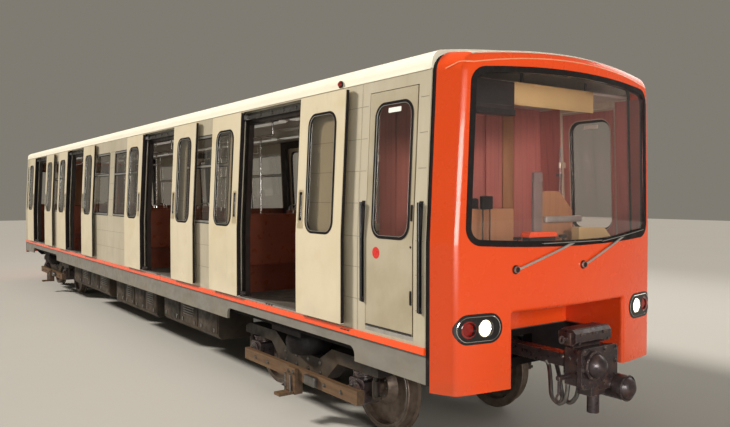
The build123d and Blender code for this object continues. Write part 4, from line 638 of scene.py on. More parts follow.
@piece("plate_alloy")
def leaf_handle_plates(bm):
    """The frame round each handle, the lock's plate under it with its cylinder, and the frame's rivets."""
    reach = HANDLE_WIDTH / 2 + HANDLE_FRAME
    profile = ((0, -0.001), (0, 0.003), (0.021, 0.003), (HANDLE_FRAME, 0.001), (HANDLE_FRAME, -0.001))
    for surface, x in handles():
        sweep_ring(bm, surface, (x, HANDLE_MIDDLE_Z), (HANDLE_WIDTH, HANDLE_HEIGHT), 0.004, profile, 2)
        plate(bm, surface, x - reach, x + reach, HANDLE_PLATE_BOTTOM_Z, HANDLE_BOTTOM_Z - 0.02, -0.001, 0.003,
              0.012)
        stud(bm, surface, x, LOCK_Z, 0.003, 0.009, [(0, 0.015), (0.8, 0.015), (1, 0.012)], 16)
        for z, dx in product((HANDLE_BOTTOM_Z - 0.011, HANDLE_TOP_Z + 0.011), (-0.03, 0.03)):
            stud(bm, surface, x + dx, z, 0.003, 0.005, [(0, 0.005), (1, 0.004)], 8)


@piece("black_plastic")
def leaf_handle_cups(bm):
    """The black cup in each handle plate, open round its grip, and the lock's keyhole."""
    for surface, x in handles():
        sweep_ring(bm, surface, (x, HANDLE_MIDDLE_Z), (HANDLE_WIDTH - 0.002, HANDLE_HEIGHT - 0.002), 0.02,
                   ((0, -0.013), (0, 0.002), (-0.006, 0.002), (-0.010, -0.013)), 5)
        plate(bm, surface, x - 0.02, x + 0.02, HANDLE_BOTTOM_Z + 0.008, HANDLE_TOP_Z - 0.008, -0.0135, -0.012)
        stud(bm, surface, x, LOCK_Z, 0.0092, 0.0098, [(0, 0.006), (1, 0.006)], 10)


@piece("steel_tube")
def leaf_handle_grips(bm):
    for surface, x in handles():
        foot, top = (surface(x, z, -0.006) for z in (HANDLE_BOTTOM_Z + 0.03, HANDLE_TOP_Z - 0.03))
        rod(bm, foot, top, 0.007, 10)


# Heights of the joints between the side's sheets, and the X of the joint behind the cab
SEAM_LEVELS = (3.05, 2.77, 2.49, 2.21, 1.92, 1.65, 1.37)
CAB_PANEL_X = 7.41


def free_spans(z):
    """The stretches of the body side at a height that no door, window or cab door takes."""
    holes = [(x - DOORWAY_WIDTH / 2 - 0.02, x + DOORWAY_WIDTH / 2 + 0.02) for x in DOOR_X]
    holes.append((CAB_DOOR_REAR_X - 0.03, CAB_DOOR_FRONT_X + 0.04))
    if WAIST_Z < z < WINDOW_TOP_Z + 0.01:
        holes += [(x - width / 2 - 0.03, x + width / 2 + 0.03) for x, width in SIDE_WINDOWS]
    start, spans = -BODY_END_X + 0.02, []
    for low, high in sorted(holes) + [(BODY_END_X - 0.02, BODY_END_X)]:
        if low - start > 0.04:
            spans.append((start, low))
        start = max(start, high)
    return spans


def wall_seams(bm, height, high, drop):
    """A strip of some height and thickness along every joint of the side's sheets, so far below it."""
    for _, surface in SIDES:
        for z in SEAM_LEVELS:
            for x0, x1 in free_spans(z):
                plate(bm, surface, x0, x1, z - drop - height, z - drop, -0.001, high)
        x = CAB_PANEL_X - drop
        plate(bm, surface, x - height / 2, x + height / 2, SILL_TOP_Z + 0.01, EAVE_Z - 0.01, -0.001, high)


make_piece("wall_score_lines", "seam_dark", "carbody", wall_seams, 0.0035, 0.0008, 0.0)
make_piece("wall_score_ridges", "body_sheet", "carbody", wall_seams, 0.0045, 0.0018, -0.0055)


@piece("roof_paint")
def eave_gutters(bm):
    """The rain strip under each eave."""
    end = BODY_END_X - 0.01
    for _, surface in SIDES:
        plate(bm, surface, -end, end, EAVE_Z - 0.006, EAVE_Z + 0.004, -0.001, 0.006)


@piece("black_rubber")
def doorway_edges(bm):
    """Rubber along both edges of each doorway."""
    for side, surface in SIDES:
        proud = -0.0005 if side > 0 else 0.003
        for x, way in product(DOOR_X, (-1, 1)):
            start, end = (x + way * (DOORWAY_WIDTH / 2 + dx) for dx in (-0.004, 0.006))
            plate(bm, surface, start, end, SILL_TOP_Z + 0.03, DOORWAY_TOP_Z, -0.05, proud)


@piece("black_plastic")
def threshold_slots(bm):
    """Three drain slots at the middle of every threshold, and three in the sill behind the cab."""
    for side, surface in SIDES:
        for door_x, dx in product(DOOR_X, (-0.06, 0, 0.06)):
            x = door_x + dx
            box(bm, x - 0.02, x + 0.02, side * 1.336, side * 1.3505, SILL_TOP_Z + 0.006, SILL_TOP_Z + 0.0212,
                0.002)
        for dx in (-0.05, 0.0, 0.05):
            x = CAB_PANEL_X - 0.18 + dx
            plate(bm, surface, x - 0.018, x + 0.018, SILL_TOP_Z - 0.028, SILL_TOP_Z - 0.018, 0.0115, 0.0135)


@piece("aluminium_trim")
def threshold_ribs(bm):
    for side, x, y in product((-1, 1), DOOR_X, (1.292, 1.306, 1.320)):
        box(bm, x - 0.79, x + 0.79, side * y, side * (y + 0.006), SILL_TOP_Z + 0.0195, SILL_TOP_Z + 0.0225)


@piece("black_plastic", CAB_DOORS)
def cab_door_pulls(bm, side):
    """The black pulls by the cab door's front edge, its lock and the draught strip along its foot."""
    surface = side_surface(side)
    front = CAB_DOOR_FRONT_X
    for low, high in ((2.07, 2.20), (1.40, 1.515)):
        plate(bm, surface, front - 0.030, front - 0.008, low, high, -0.001, 0.003, 0.005)
        plate(bm, surface, front - 0.026, front - 0.021, low + 0.012, high - 0.012, 0.002, 0.007)
    stud(bm, surface, front - 0.02, 1.863, 0, 0.004, [(0, 0.009), (0.7, 0.009), (1, 0.006)], 14)
    plate(bm, surface, CAB_DOOR_REAR_X + 0.004, front - 0.004, CAB_DOOR_BOTTOM_Z + 0.002,
          CAB_DOOR_BOTTOM_Z + 0.014, -0.001, 0.002)


@piece("red_enamel", CAB_DOORS)
def cab_door_disc(bm, side):
    turns = (2 * math.pi * i / 32 for i in range(32))
    outline = [(SEAM_X - 0.663 + 0.05 * math.cos(a), 1.79 + 0.05 * math.sin(a)) for a in turns]
    slab(bm, side_surface(side), outline, 0, 0.0012)


@piece("blank_white", CAB_DOORS)
def cab_door_plate(bm, side):
    """A blank plate behind the top of the cab door's window."""
    plate(bm, side_surface(side), CAB_WINDOW_X - 0.085, CAB_WINDOW_X + 0.085, WINDOW_TOP_Z - 0.085,
          WINDOW_TOP_Z - 0.045, -0.0085, -0.0065, 0.006)


@piece("black_plastic")
def grab_bar_backs(bm):
    """Black backing strips behind the grab bars, with their feet's flanges."""
    for _, surface in SIDES:
        for x in (SEAM_X - 0.86, SEAM_X - 0.083):
            plate(bm, surface, x - 0.022, x + 0.022, 1.35, 2.23, 0.0, 0.004)
            for z in (1.384, 2.196):
                stud(bm, surface, x, z, 0.004, 0.012, [(0, 0.019), (0.7, 0.017), (1, 0.013)], 16)


# (X, height) of a small lamp on each roof edge beside the first doorway
INDICATOR = (7.055, 3.295)


@piece("black_plastic")
def indicator_bodies(bm):
    for _, surface in SIDES:
        stud(bm, surface, *INDICATOR, -0.02, 0.018, [(0, 0.034), (0.85, 0.034), (1, 0.028)], 20)


@piece("lamp_red")
def indicator_lenses(bm):
    for _, surface in SIDES:
        stud(bm, surface, *INDICATOR, 0.012, 0.034, [(0, 0.024), (0.5, 0.023), (0.85, 0.016), (1, 0.006)], 18)


@piece("black_rubber")
def window_gaskets(bm):
    """Black gaskets round the fixed windows, outside their frames and inside round the panes."""
    for (_, surface), (x, width) in product(SIDES, SIDE_WINDOWS):
        sweep_ring(bm, surface, (x, WINDOW_MIDDLE_Z), (width, 1.11), 0.03,
                   ((0.009, -0.001), (0.008, 0.004), (0.0, 0.005), (-0.003, 0.0045), (-0.003, -0.001)), 5)
        for low, high in PANE_LEVELS:
            sweep_ring(bm, surface, (x, (low + high) / 2), (width - 0.064, high - low), 0.004,
                       ((0.002, 0.003), (0.002, 0.006), (-0.007, 0.004), (-0.009, -0.009), (0.0, -0.009)), 3)


@piece("dark_steel")
def door_rollers(bm):
    """Rollers, hangers and bolts along the doors' top rails."""
    for side, x in product((-1, 1), DOOR_X):
        y = side * (half_width(3.175) - 0.045)
        for dx in (-0.70, -0.40, -0.13, 0.13, 0.40, 0.70):
            turned(bm, (x + dx, y, 3.185), (x + dx, y + side * 0.012, 3.185),
                   [(0, 0.016), (0.3, 0.018), (0.7, 0.018), (1, 0.014)], 14)
        box(bm, x - 0.78, x + 0.78, side * 1.222, side * 1.228, 3.203, 3.228, 0.002)


# The lamps of each unit and its middle, and the round field of bars on the white lamp's glass
LAMP_Z = 1.25
WHITE_LAMP_Y = 0.984
RED_LAMP_Y = 1.13
LAMP_UNIT_Y = 1.046
FLUTES_RADIUS = 0.066
FLUTE_PITCH = 0.0115


@piece("chrome")
def lamp_rims(bm):
    """A bright rim round the white lamp of each unit, seated in its bore."""
    for side in (-1, 1):
        torus(bm, (face_x(WHITE_LAMP_Y) - 0.009, side * WHITE_LAMP_Y, LAMP_Z), (1, 0, 0), 0.068, 0.005, 36, 8)


@piece("lamp_red")
def tail_reflectors(bm):
    """The broad red ring round each tail lamp."""
    tree = skin_of("lamp_units")
    around = 40
    for side in (-1, 1):
        rows = []
        for i in range(around):
            a = 2 * math.pi * i / around
            row = []
            for share in (0.0, 0.25, 0.5, 0.75, 1.0):
                radius = 0.0545 + 0.0125 * share
                y = RED_LAMP_Y + 0.010 * share + radius * math.cos(a)
                z = LAMP_Z + radius * math.sin(a)
                lift = 0.0035 if 0 < share < 1 else 0.0005
                row.append(bm.verts.new(laid(tree, (9, side * y, z), (-1, 0, 0), lift)))
            rows.append(row)
        for a, b in zip(rows, rows[1:] + rows[:1]):
            for i in range(len(a) - 1):
                bm.faces.new((a[i], a[i + 1], b[i + 1], b[i]))


@piece("chrome")
def lamp_cover_rims(bm):
    """The thin bright rim inside the edge of each lamp unit."""
    tree = skin_of("lamp_units")
    for side in (-1, 1):
        points = [laid(tree, (9, side * (LAMP_UNIT_Y + p.x), LAMP_Z + p.y), (-1, 0, 0), 0.001)
                  for p, _ in rounded_outline(0.388, 0.189, 0.094, 10)]
        pipe(bm, points + points[:1], 0.0032, 6)


@piece("clear_glass")
def lamp_flutes(bm):
    """Fluted glass in front of the white lamps."""
    x = face_x(WHITE_LAMP_Y) - 0.0138
    for side, i in product((-1, 1), range(-5, 6)):
        y = side * WHITE_LAMP_Y + i * FLUTE_PITCH
        reach = math.sqrt(FLUTES_RADIUS ** 2 - (i * FLUTE_PITCH) ** 2) - 0.004
        rod(bm, (x, y, LAMP_Z - reach), (x, y, LAMP_Z + reach), 0.0035, 6)


# (Y, height) of the wipers' pivots
WIPER_PIVOTS = ((-0.697, 1.69), (0.089, 1.69))


@piece("black_plastic")
def wiper_caps(bm):
    """The nut and the boot on each wiper's pivot."""
    for y, z in WIPER_PIVOTS:
        pivot = Vector((face_x(y), y, z))
        for near, far, profile, sides in ((0.020, 0.034, [(0, 0.024), (0.5, 0.022), (1, 0.010)], 20),
                                          (0.0, 0.008, [(0, 0.036), (0.6, 0.036), (1, 0.030)], 24)):
            turned(bm, pivot + Vector((near, 0, 0)), pivot + Vector((far, 0, 0)), profile, sides)


# (Y, height, half length across, half length up) of the blades
WIPER_BLADES = ((-0.046, 1.888, 0.370, 0.0), (0.700, 1.918, 0.360, 0.038))
# (lower edge, upper edge, foot, top, length beside the blade's) of a blade's two black sides and two rubbers
WIPER_STRIPS = ((-0.016, -0.0085, -0.004, 0.009, 1.0), (0.0085, 0.013, -0.004, 0.009, 1.0),
                (-0.0098, -0.0030, 0.0085, 0.0252, 1.03), (0.0030, 0.0098, 0.0085, 0.0252, 1.03))


@piece("black_rubber")
def wiper_rubbers(bm):
    """Each blade's black sides, which leave a bright line between them, and the rubber along both edges."""
    surface = face_surface(1)
    for y, z, dy, dz in WIPER_BLADES:
        across = Vector((-dz, dy)).normalized()
        for low, high, foot, top, reach in WIPER_STRIPS:
            for k in range(-6, 6):
                a, b = (Vector((y + dy * reach * t / 6, z + dz * reach * t / 6)) for t in (k, k + 1))
                outline = [a + across * low, b + across * low, b + across * high, a + across * high]
                slab(bm, surface, outline, foot, top)


# The band's reach to both sides, the angle up the rounded edge where it ends, and its other end
BAND_HALF_WIDTH = 1.09
BAND_FRONT_ANGLE = 48
BAND_REAR_X = 8.376


@piece("roof_paint", MASKS)
def mask_band(bm, sign):
    """A band in the roof's cream over the mask's top and halfway round its front edge."""
    tree = skin_of("front_mask" if sign > 0 else "rear_mask")
    down = Vector((0, 0, -1))
    across = 64
    rows = []
    for i in range(across + 1):
        y = BAND_HALF_WIDTH * (2 * i / across - 1)
        edge_x = face_x(y) - MASK_CORNER_RADIUS
        crown = laid(tree, (sign * (edge_x - 0.01), y, 4), down, 0).z
        centre = Vector((sign * edge_x, y, crown - MASK_CORNER_RADIUS))
        top_x = [BAND_REAR_X + (edge_x - BAND_REAR_X) * k / 4 for k in range(4)]
        rays = [(Vector((sign * x, y, 4)), down) for x in top_x]
        for k in range(9):
            angle = math.radians(89 + (BAND_FRONT_ANGLE - 89) * k / 8)
            out = Vector((sign * math.cos(angle), 0, math.sin(angle)))
            rays.append((centre + out * 0.4, -out))
        outer = [bm.verts.new(laid(tree, start, way, 0.0012)) for start, way in rays]
        inner = [bm.verts.new(laid(tree, start, way, -0.002)) for start, way in rays]
        rows.append(outer + inner[::-1])
    loft(bm, rows)
    half = len(rows[0]) // 2
    for row in (rows[0], rows[-1]):
        for i in range(half - 1):
            bm.faces.new((row[i], row[i + 1], row[-2 - i], row[-1 - i]))


def mask_lining(bm, way, top):
    """The lining inside the mask's two sides, up to a height."""
    for side in (-1, 1):
        def inner(x, z, h):
            y = half_width(z) - MASK_TAPER * (x - SEAM_X) - MASK_INNER - h
            return Vector((way * x, side * y, z))
        for x0, x1 in ((8.362, 8.46), (8.46, 8.56)):
            plate(bm, inner, x0, x1, POCKET_ROOF_Z, top, 0.001, 0.004)


make_piece("mask_lining_front", "cab_panel", "carbody", mask_lining, 1, 3.20)
make_piece("mask_lining_rear", "tan_panel", "carbody", mask_lining, -1, 3.18)


@piece("tan_panel")
def rear_lining(bm):
    """The saloon's lining on the rear mask, round both of its windows."""
    for y, y0, y1 in ((-0.6, -1.12, -0.0005), (0.6, 0.0005, 1.12)):
        windowed_panel(bm, face_surface(-1), (y, 2.48), (0.77, 1.01), 0.125, (y0, y1, POCKET_ROOF_Z, 3.18),
                       -0.066, -0.062)


@piece("black_plastic")
def mask_handle(bm):
    """A low black handle across the mask's far shoulder."""
    tree = skin_of("front_mask")
    feet = [laid(tree, (8.45, y, 4), (0, 0, -1), 0) for y in (0.86, 1.08)]
    lift = Vector((0, 0, 0.030))
    near, far = feet[0] + Vector((0, -0.04, 0.004)), feet[1] + Vector((0, 0.035, -0.010))
    rod(bm, near + lift, far + lift, 0.009, 12)
    for foot in feet:
        rod(bm, foot - lift * 0.1, foot + lift, 0.008, 12)


# The line falls towards the corners, and past a bend on each side it falls on by so much for each degree
CREASE_FACE_Y = 1.10
CREASE_TOP_Z = 3.383
CREASE_DROP = 0.095
CREASE_BEND_ANGLE = 71
CREASE_END_ANGLE = 97
CREASE_FALL = 0.0018


@piece("crease_painted_highlight")
def mask_crease(bm):
    """The fine raised line that follows the mask's top edge and turns down at both corners. Its light orange
    is a painted highlight along the edge.
    """
    tree = skin_of("front_mask")
    route = []
    for step in range(-40, 41):
        share = step / 40
        start = Vector((9.2, share * CREASE_FACE_Y, CREASE_TOP_Z - CREASE_DROP * share ** 2))
        route.append((start, Vector((-1, 0, 0))))
    for side in (-1, 1):
        ends = []
        for turn in range(38, CREASE_END_ANGLE, 3):
            angle = math.radians(turn)
            out = Vector((math.cos(angle), side * math.sin(angle), 0))
            fall = max(0, turn - CREASE_BEND_ANGLE) * CREASE_FALL
            middle = Vector((8.46, side * (CREASE_FACE_Y - 0.10), CREASE_TOP_Z - CREASE_DROP - fall))
            ends.append((middle + out, -out))
        route = ends[::-1] + route if side < 0 else route + ends
    profile = ((-0.0045, -0.001), (-0.0045, 0.0015), (0, 0.003), (0.0045, 0.0015), (0.0045, -0.001))
    loft(bm, [[bm.verts.new(laid(tree, start + Vector((0, 0, dz)), way, lift)) for dz, lift in profile]
              for start, way in route], capped=True)


HEAD_PLATE_X = 8.94
HEAD_SIDE_Y = 0.2055
# (Y, height) of the middles of the coupler's dome and horn, and the circle of bolts round the dome
DOME = (-0.1, 0.905)
HORN = (0.235, 0.685)
DOME_BOLTS_RADIUS = 0.107


@piece("black_iron", COUPLERS)
def coupler_bolts(bm, sign):
    """Bolts on the head's plate, on the dome's collar and on the head's sides, and a ring round each form."""
    for y, z in ((-0.205, 0.745), (0.205, 0.745), (-0.205, 1.015), (0.205, 1.015), (-0.205, 0.88),
                 (0.205, 0.9), (0.06, 1.015), (0.06, 0.745)):
        bolt(bm, (sign * HEAD_PLATE_X, sign * y, z), (sign, 0, 0), 0.015, 0.014)
    y, z = DOME
    for i in range(8):
        a = 2 * math.pi * i / 8 + 0.2
        out, up = DOME_BOLTS_RADIUS * math.cos(a), DOME_BOLTS_RADIUS * math.sin(a)
        bolt(bm, (sign * 8.958, sign * (y + out), z + up), (sign, 0, 0), 0.008, 0.022)
    torus(bm, (sign * 8.9745, sign * y, z), (sign, 0, 0), 0.108, 0.006, 32, 8)
    for side, x in product((-1, 1), (8.73, 8.80, 8.87)):
        bolt(bm, (sign * x, sign * side * HEAD_SIDE_Y, 0.95), (0, sign * side, 0), 0.012, 0.012)
    y, z = HORN
    torus(bm, (sign * 9.04, sign * y, z), (sign, 0, 0), 0.103, 0.007, 32, 8)


@piece("black_iron", COUPLERS)
def coupler_lever(bm, sign):
    """The uncoupling lever beside the head, its pull rod and the rod's ring."""
    x, y = sign * 8.79, sign * -0.325
    rod(bm, (x, sign * -0.20, 0.80), (x, sign * -0.345, 0.80), 0.022)
    rod(bm, (x, y, 0.815), (x, y, 0.67), 0.013)
    torus(bm, (x, y, 0.64), (sign, 0, 0), 0.030, 0.009, 24, 8)


@piece("dark_steel", COUPLERS)
def coupler_pipes(bm, sign):
    """Short stiff air pipes, bent from the head's underside back to the shank."""
    for y, low, back_y in ((-0.157, 0.535, -0.05), (-0.015, 0.515, 0.05)):
        route = ((8.745, y, 0.745), (8.74, y, 0.66), (8.715, y, 0.575), (8.65, y, low),
                 (8.58, y, low + 0.045), (8.52, (y + back_y) / 2, 0.69), (8.46, back_y, 0.79),
                 (8.43, back_y, 0.84))
        pipe(bm, [(sign * x, sign * across, z) for x, across, z in route], 0.019)


HEAD_BOX_TOP_Z = 1.19


@piece("black_iron", (("", "coupler_front"),))
def head_box_fittings(bm):
    """The electrical box's lid seam, hinge blocks, latch, and the ring bracket at its end."""
    box(bm, 8.741, 8.864, -0.215, 0.185, HEAD_BOX_TOP_Z - 0.0005, HEAD_BOX_TOP_Z + 0.006, 0.002)
    for y in (-0.16, 0.0, 0.13):
        box(bm, 8.885, 8.899, y - 0.028, y + 0.028, 1.135, 1.158, 0.003)
        rod(bm, (8.896, y - 0.034, 1.1585), (8.896, y + 0.034, 1.1585), 0.006)
    for y in (-0.2, 0.17):
        bolt(bm, (8.89, y, 1.085), (1, 0, 0), 0.009, 0.008)
    box(bm, 8.76, 8.85, -0.262, -0.244, 1.07, 1.165, 0.004)
    box(bm, 8.79, 8.82, -0.315, -0.258, 1.10, 1.125, 0.004)
    torus(bm, (8.805, -0.315, 1.1125), (1, 0, 0), 0.026, 0.008, 24, 8)


# Outer faces of the bogie's side beams, its bearing covers and the wheels' hubs
BEAM_FACE_Y = 1.085
BEARING_FACE_Y = BEAM_FACE_Y + 0.0003 + 0.044
HUB_FACE_Y = 0.7475 + 0.08
# Middles and tops of the springs over the bearings
SPRING_Y = 1.0
SPRING_TOP_Z = 0.60


def wheel_places(x):
    """(X, side, way from the bogie's middle) of a bogie's four wheels."""
    for way, side in product((-1, 1), repeat=2):
        yield x + way * WHEELBASE / 2, side, way


def spring_coils(bm, x, y, z0, z1, radius, wire, turns):
    """A coil spring standing on Z, closed at both ends."""
    steps = 20 * turns
    rings = []
    for i in range(steps + 1):
        a = 2 * math.pi * i / 20
        out = Vector((math.cos(a), math.sin(a), 0))
        centre = Vector((x, y, z0 + (z1 - z0) * i / steps)) + out * radius
        rings.append(ring(bm, centre, out, Vector((0, 0, 1)), wire, 8))
    loft(bm, rings, capped=True)


@piece("black_iron", BOGIES)
def primary_coils(bm, x):
    """Coils round the primary spring columns, and spring seats."""
    for box_x, side, _ in wheel_places(x):
        y = side * SPRING_Y
        spring_coils(bm, box_x, y, AXLE_Z + 0.127, SPRING_TOP_Z, 0.096, 0.010, 3)
        seat = [(box_x, y, SPRING_TOP_Z + dz) for dz in (-0.003, 0.0105)]
        turned(bm, *seat, [(0, 0.117), (1, 0.117)], 28)


@piece("dark_steel", BOGIES)
def bogie_bolts(bm, x):
    """Bolts on the bearing covers and the side beams."""
    for box_x, side, _ in wheel_places(x):
        y = side * BEARING_FACE_Y
        for i in range(6):
            a = math.pi * i / 3 + 0.3
            place = (box_x + 0.075 * math.cos(a), y, AXLE_Z + 0.075 * math.sin(a))
            bolt(bm, place, (0, side, 0), 0.011, 0.010)
        turned(bm, (box_x, y, AXLE_Z), (box_x, y + side * 0.012, AXLE_Z), [(0, 0.042), (1, 0.034)], 20)
    for side, dx, z in product((-1, 1), (-0.36, -0.12, 0.12, 0.36), (0.46, 0.555)):
        bolt(bm, (x + dx, side * BEAM_FACE_Y, z), (0, side, 0), 0.014, 0.012)


@piece("dark_steel", BOGIES)
def brake_gear(bm, x):
    """Brake blocks beside each tread, their hangers and the arms that carry them on the bogie frame."""
    for wheel_x, side, way in wheel_places(x):
        shoe_x, y = wheel_x - way * (WHEEL_RADIUS + 0.018), side * 0.755
        box(bm, shoe_x, shoe_x - way * 0.055, y - 0.045, y + 0.045, AXLE_Z - 0.13, AXLE_Z + 0.11, 0.008)
        box(bm, shoe_x - way * 0.05, shoe_x - way * 0.085, y - 0.028, y + 0.028, AXLE_Z - 0.09,
            AXLE_Z + 0.26, 0.006)
        box(bm, shoe_x - way * 0.045, shoe_x - way * 0.09, side * 0.735, side * 0.925, AXLE_Z + 0.225,
            AXLE_Z + 0.265, 0.006)


@piece("underframe_paint", BOGIES)
def dampers(bm, x):
    """A damper beside each axle box, on a bracket below and with its rod up to the side beam."""
    for box_x, side, way in wheel_places(x):
        damper_x, y = box_x + way * 0.215, side * 1.045
        rod(bm, (damper_x, y, AXLE_Z - 0.02), (damper_x, y, AXLE_Z + 0.13), 0.030, 18)
        rod(bm, (damper_x, y, AXLE_Z + 0.12), (damper_x, y, 0.64), 0.020, 16)
        foot = AXLE_Z - 0.045
        box(bm, damper_x - 0.035, damper_x + 0.035, side * 0.99, side * 1.08, foot, foot + 0.030, 0.006)
        box(bm, damper_x - 0.03, box_x + way * 0.11, side * 0.99, side * 1.07, foot, foot + 0.025, 0.005)


@piece("underframe_paint", BOGIES)
def motor_ribs(bm, x):
    """Cooling ribs round the motors, and the covers over their leads."""
    for way in (-1, 1):
        motor_x = x + way * (WHEELBASE / 2 - 0.43)
        for y in (-0.36, -0.30, -0.24, -0.18, 0.18, 0.24, 0.30, 0.36):
            torus(bm, (motor_x, way * y, AXLE_Z), (0, 1, 0), 0.2225, 0.009, 40, 6)
        box(bm, motor_x - 0.08, motor_x + 0.08, -0.10, 0.10, AXLE_Z + 0.20, AXLE_Z + 0.245, 0.012)


@piece("dark_steel", AXLES)
def wheel_fittings(bm, x):
    """Ring grooves and hub bolts of one wheelset."""
    for side in (-1, 1):
        y = side * HUB_FACE_Y
        torus(bm, (x, side * 0.8152, AXLE_Z), (0, 1, 0), 0.392, 0.004, 56, 6)
        for i in range(8):
            a = 2 * math.pi * i / 8
            bolt(bm, (x + 0.1 * math.cos(a), y, AXLE_Z + 0.1 * math.sin(a)), (0, side, 0), 0.010, 0.010)


# (rear X, front X, side, bottom) of the cases under the floor
FLOOR_CASES = (
    (1.85, 3.9, 1, 0.33), (0.15, 1.5, 1, 0.38), (-1.5, -0.15, 1, 0.36), (-3.9, -1.85, 1, 0.33),
    (1.85, 3.9, -1, 0.38), (-0.7, 1.5, -1, 0.33), (-3.9, -1.15, -1, 0.36),
)
CASE_OUTER_Y = 1.12
CASE_TOP_Z = 0.905
CASE_DOOR_PITCH = 0.62
CASE_DOOR_MARGIN = 0.03
# (rear X, front X) of the air tanks, and the height of their middles
TANKS = ((0.65, 2.85), (-2.85, -0.65))
TANK_Z = 0.64
# The pipes along the underframe: their Y, their height, their reach to both ends, and their clips' pitch
PIPES_Y = (-0.42, -0.38, 0.40)
PIPE_Z = 0.865
PIPE_REACH = 4.6
CLIP_PITCH = 1.16


def case_bays():
    """(number in its case, rear X, front X, side, bottom of the case) of every door on the cases."""
    for x0, x1, side, bottom in FLOOR_CASES:
        count = max(2, round((x1 - x0) / CASE_DOOR_PITCH))
        pitch = (x1 - x0) / count
        for i in range(count):
            yield i, x0 + i * pitch + CASE_DOOR_MARGIN, x0 + (i + 1) * pitch - CASE_DOOR_MARGIN, side, bottom


@piece("underframe_paint")
def case_doors(bm):
    """Bevelled doors on the cases' outer faces."""
    for _, x0, x1, side, bottom in case_bays():
        box(bm, x0, x1, side * (CASE_OUTER_Y - 0.001), side * (CASE_OUTER_Y + 0.010), bottom + 0.075,
            CASE_TOP_Z - 0.05, 0.004)


@piece("dark_steel")
def case_fittings(bm):
    """Hinges, latches and louvres on the doors of the cases."""
    for i, x0, x1, side, bottom in case_bays():
        y0, y1 = sorted((side * (CASE_OUTER_Y + 0.009), side * (CASE_OUTER_Y + 0.020)))
        for x in (x0 + 0.09, x1 - 0.09):
            box(bm, x - 0.03, x + 0.03, y0, y1, CASE_TOP_Z - 0.075, CASE_TOP_Z - 0.045, 0.003)
            box(bm, x - 0.018, x + 0.018, y0, y1, bottom + 0.085, bottom + 0.14, 0.003)
        if i % 2:
            for k in range(6):
                z = bottom + 0.19 + k * 0.035
                box(bm, x0 + 0.12, x1 - 0.12, y0, y1 - (y1 - y0) * 0.4, z, z + 0.016, 0.003)


@piece("dark_steel")
def brake_pipes(bm):
    """Straight pipes along the underframe with clips, and the branches to the air tanks."""
    for y in PIPES_Y:
        rod(bm, (-PIPE_REACH, y, PIPE_Z), (PIPE_REACH, y, PIPE_Z), 0.013)
        for i in range(-3, 5):
            x = (i - 0.5) * CLIP_PITCH
            box(bm, x - 0.015, x + 0.015, y - 0.020, y + 0.020, PIPE_Z - 0.018, 0.907, 0.003)
    for x0, x1 in TANKS:
        for x in ((x0 + x1) / 2 - 0.25, (x0 + x1) / 2 + 0.25):
            rod(bm, (x, 0.0, 0.805), (x, 0.0, 0.84), 0.022)
            pipe(bm, [(x, 0, 0.835), (x, 0.06, 0.862), (x, 0.20, PIPE_Z), (x, PIPES_Y[-1], PIPE_Z)], 0.012)


@piece("dark_steel")
def tank_bands(bm):
    for x0, x1 in TANKS:
        for x in (x0 + 0.16, x1 - 0.16):
            torus(bm, (x, 0, TANK_Z), (1, 0, 0), 0.1705, 0.006, 44, 8)


@piece("dark_steel", BOGIES)
def shoe_fittings(bm, x):
    """Links, springs and fuses of the third rail shoes."""
    for side in (-1, 1):
        for dx in (-0.05, 0.05):
            rod(bm, (x + dx, side * 1.265, 0.21), (x + dx, side * 1.265, 0.40), 0.012)
            bolt(bm, (x + dx, side * 1.2295, 0.42), (0, side, 0), 0.012, 0.014)
        box(bm, x + 0.28, x + 0.48, side * 1.189, side * 1.235, 0.345, 0.445, 0.008)
        for dx in (-0.9, -0.6, 0.6, 0.9):
            bolt(bm, (x + dx, side * 1.19, 0.395), (0, side, 0), 0.014, 0.014)


# (X, Y) of the lamps' middles
CEILING_LAMPS = [(-7.2 + i * 1.27, side * 0.62) for side in (-1, 1) for i in range(12)]


@piece("light_tube")
def ceiling_lamps(bm):
    for x, y in CEILING_LAMPS:
        box(bm, x - 0.5, x + 0.5, y - 0.06, y + 0.06, 3.185, CEILING_Z, 0.012)


@piece("aluminium_trim")
def ceiling_trim(bm):
    """Trim along both edges of each lamp, and the air grilles down the middle."""
    for x, lamp_y in CEILING_LAMPS:
        for y in (lamp_y - 0.072, lamp_y + 0.072):
            box(bm, x - 0.53, x + 0.53, y - 0.008, y + 0.008, 3.195, CEILING_Z, 0.003)
    for i, k in product(range(7), range(-4, 5)):
        x, y = -6.5 + i * 2.1, k * 0.025
        box(bm, x - 0.35, x + 0.35, y - 0.006, y + 0.006, 3.201, CEILING_Z, 0.002)


HAND_RAIL_Y = 0.78
HAND_RAIL_Z = 3.02
POLE_Y = 0.34


@piece("steel_tube")
def hand_rails(bm):
    """Long rails under the ceiling over the seats, on short hangers."""
    for side, (x0, x1) in product((-1, 1), ((3.2, 4.8), (-1.8, 1.3), (-5.3, -3.7))):
        y = side * HAND_RAIL_Y
        rod(bm, (x0, y, HAND_RAIL_Z), (x1, y, HAND_RAIL_Z), 0.016)
        count = max(2, round((x1 - x0) / 0.8))
        for i in range(count + 1):
            x = x0 + 0.03 + (x1 - x0 - 0.06) * i / count
            rod(bm, (x, y, HAND_RAIL_Z), (x, y, CEILING_Z - 0.0003), 0.010)


@piece("steel_tube")
def pole_flanges(bm):
    ends = ((FLOOR_Z, FLOOR_Z + 0.012), (CEILING_Z - 0.0125, CEILING_Z - 0.0003))
    for x, y, (z0, z1) in product(DOOR_X, (-POLE_Y, POLE_Y), ends):
        turned(bm, (x, y, z0), (x, y, z1), [(0, 0.042), (0.6, 0.040), (1, 0.036)], 24)


